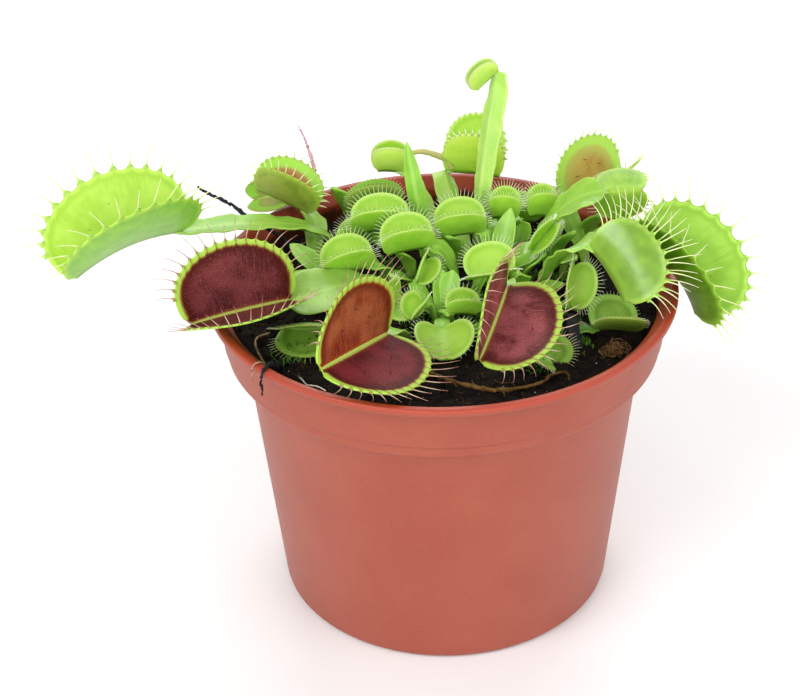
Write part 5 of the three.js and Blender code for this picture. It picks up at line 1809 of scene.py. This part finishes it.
STRANDS = [
    Strand(
        "dead_stalk_fine", CHAR, "dead_tissue",
        ((-29, 22, 58), (-29, 22, 60.6), (-33, 22, 65.5), (-38, 24, 67.8), (-42, 28, 69), (-46, 30, 70.2),
         (-49, 33, 70.5)),
        0.5, 0.32, 0.22, replaces="dead_stalk", seed=3,
    ),
    Strand(
        "surface_root_fine", BARK, "root_bark",
        ((-4, -23.5, 62.6), (-3, -26, 61.9), (3, -30, 61.8), (9, -32, 61.7), (16, -30.5, 61.8),
         (19, -28, 62.2), (21.5, -27, 61.8), (22, -28.5, 61.2)),
        0.5, 0.16, 0.2, shoots=18, shoot_mm=2.4, replaces="surface_root", seed=4,
    ),
    Strand(
        "rootlet_pale", PALE_ROOT, "root_bark",
        ((-32.7, -9.2, 61), (-35.1, -12.5, 62), (-35.2, -16.1, 62.3), (-33.8, -21, 62.7),
         (-32.9, -25.8, 64.6), (-33.6, -28.2, 66.6), (-34.9, -29.2, 66.3), (-35.1, -29.4, 63.4)),
        0.26, 0.12, 0.12, shoots=4, seed=6,
    ),
    Strand(
        "rootlet_dark", CHAR, "root_bark",
        ((-30, -19, 61), (-31, -24.5, 63), (-31.6, -28.3, 66.2), (-32.3, -30, 66.9), (-33.2, -31.3, 65.6),
         (-33.3, -31.4, 61.8)),
        0.55, 0.2, 0.25, shoots=7, shoot_mm=2.5, seed=7,
    ),
    Strand(
        "withered_tip", WITHERED, "leaf_green",
        ((-24.4, 28.4, 73.5), (-25, 29.3, 77.5), (-25.8, 29.8, 80.4), (-26.4, 30, 82.4), (-27.6, 30, 85.2)),
        0.42, 0.08, 0.25, shoots=6, shoot_mm=2.2, seed=9,
    ),
    Strand(
        "blushed_stem", BLUSHED, "leaf_green",
        ((3.2, 33.6, 73.2), (2.2, 33.3, 75), (0, 32.8, 76.5), (-3, 32.3, 77.6), (-6.5, 32, 77.2)), 0.75,
        0.5, 0.06, seed=10,
    ),
    Strand(
        "rootlet_white", GRIT, "root_bark",
        ((-27.7, -23.5, 61), (-26.3, -27.5, 62.2), (-25.2, -31.5, 63.6), (-24.2, -34.6, 65.5),
         (-23, -36.5, 66.5), (-21.6, -38.0, 66.6)),
        0.17, 0.1, 0.1, seed=8,
    ),
]


# ---------------------------------------------------------------- camera, light and floor


@dataclass(frozen=True)
class Studio:
    """A pale floor, soft light and the camera."""

    eye: Point = (-8.42, -319.63, 252.33)
    elevation: float = 32.2
    tilt: float = -1.55
    lens: float = 86.8
    sensor: float = 36.0
    floor_size: float = 3000.0
    sky: float = 0.5  # the strength of the even white light from all round
    look_at: Point = (0, 0, 55.0)  # what the lamps face
    lamps: tuple[tuple[str, Point, float, float], ...] = (  # name, place in mm, side in metres and watts
        ("key", (-500, -450, 620), 0.55, 4.3),
        ("fill", (520, -380, 420), 0.6, 2.3),
        ("low", (-60, -800, 160), 0.7, 4.0),
        ("rear", (100, 600, 520), 0.7, 4.0),
    )

    def build(self) -> None:
        """Sets up the floor, the lights and the camera."""
        scene = bpy.context.scene
        scene.view_settings.view_transform = "Standard"
        e, r = math.radians(self.elevation), math.radians(self.tilt)
        ahead = np.array([0, math.cos(e), -math.sin(e)])
        up = np.array([0, math.sin(e), math.cos(e)])
        x, y = EAST * math.cos(r) + up * math.sin(r), up * math.cos(r) - EAST * math.sin(r)
        lens = bpy.data.cameras.new("camera")
        lens.lens, lens.sensor_width = self.lens, self.sensor
        lens.clip_start = 0.01
        camera = bpy.data.objects.new("camera", lens)
        camera.matrix_world = facing(x, y, -ahead, self.eye)
        scene.collection.objects.link(camera)
        scene.camera = camera
        world = bpy.data.worlds.new("studio")
        world.use_nodes = True
        colour, strength = world.node_tree.nodes["Background"].inputs[:2]
        colour.default_value, strength.default_value = linear("#ffffff"), self.sky
        scene.world = world
        for lamp in self.lamps:
            self.lamp(*lamp)
        self.floor()

    def lamp(self, name: str, at: Point, size: float, power: float) -> None:
        """Adds a square soft lamp that faces the plant.

        Args:
            name: its name.
            at: where it hangs, in mm.
            size: its side, in metres.
            power: in watts.
        """
        light = bpy.data.lights.new(name, "AREA")
        light.size, light.energy = size, power
        lamp = bpy.data.objects.new(name, light)
        back = unit(np.array(at) - np.array(self.look_at))
        x = unit(np.cross(UP, back))
        lamp.matrix_world = facing(x, np.cross(back, x), back, at)
        bpy.context.scene.collection.objects.link(lamp)

    def floor(self) -> None:
        """Adds the floor: a matte white sheet with a very faint grain."""
        half = self.floor_size / 2 * MM
        mesh = bpy.data.meshes.new("floor")
        corners = [(-half, -half, 0), (half, -half, 0), (half, half, 0), (-half, half, 0)]
        mesh.from_pydata(corners, [], [(0, 1, 2, 3)])
        w = Weave("floor_paper")
        grain = w.add("TexNoise", {"Vector": w.place, "Scale": per_mm(40)})
        tone = w.coat("#f0f0f0", "#eeeeee", grain, 0.3, 0.7)
        mesh.materials.append(w.finish(Base_Color=tone, Roughness=0.9))
        floor = bpy.data.objects.new("floor", mesh)
        floor.location.z = -0.1 * MM
        bpy.context.scene.collection.objects.link(floor)


def main() -> None:
    """Builds every piece in order."""
    Studio().build()
    made: dict[str, bpy.types.Material] = {}
    for seed, leaf in enumerate(LEAVES):
        leaf.build(seed, made)
    for seed, blade in enumerate(BLADES):
        blade.build(seed + 40, made)
    Rosette().build(made)
    ShortBlades().build(made)
    Pot().build()
    Bed().build()
    for strand in STRANDS:
        strand.build()
    Tangle().build()
    MossCarpet().build()


if __name__ == "__main__":
    main()
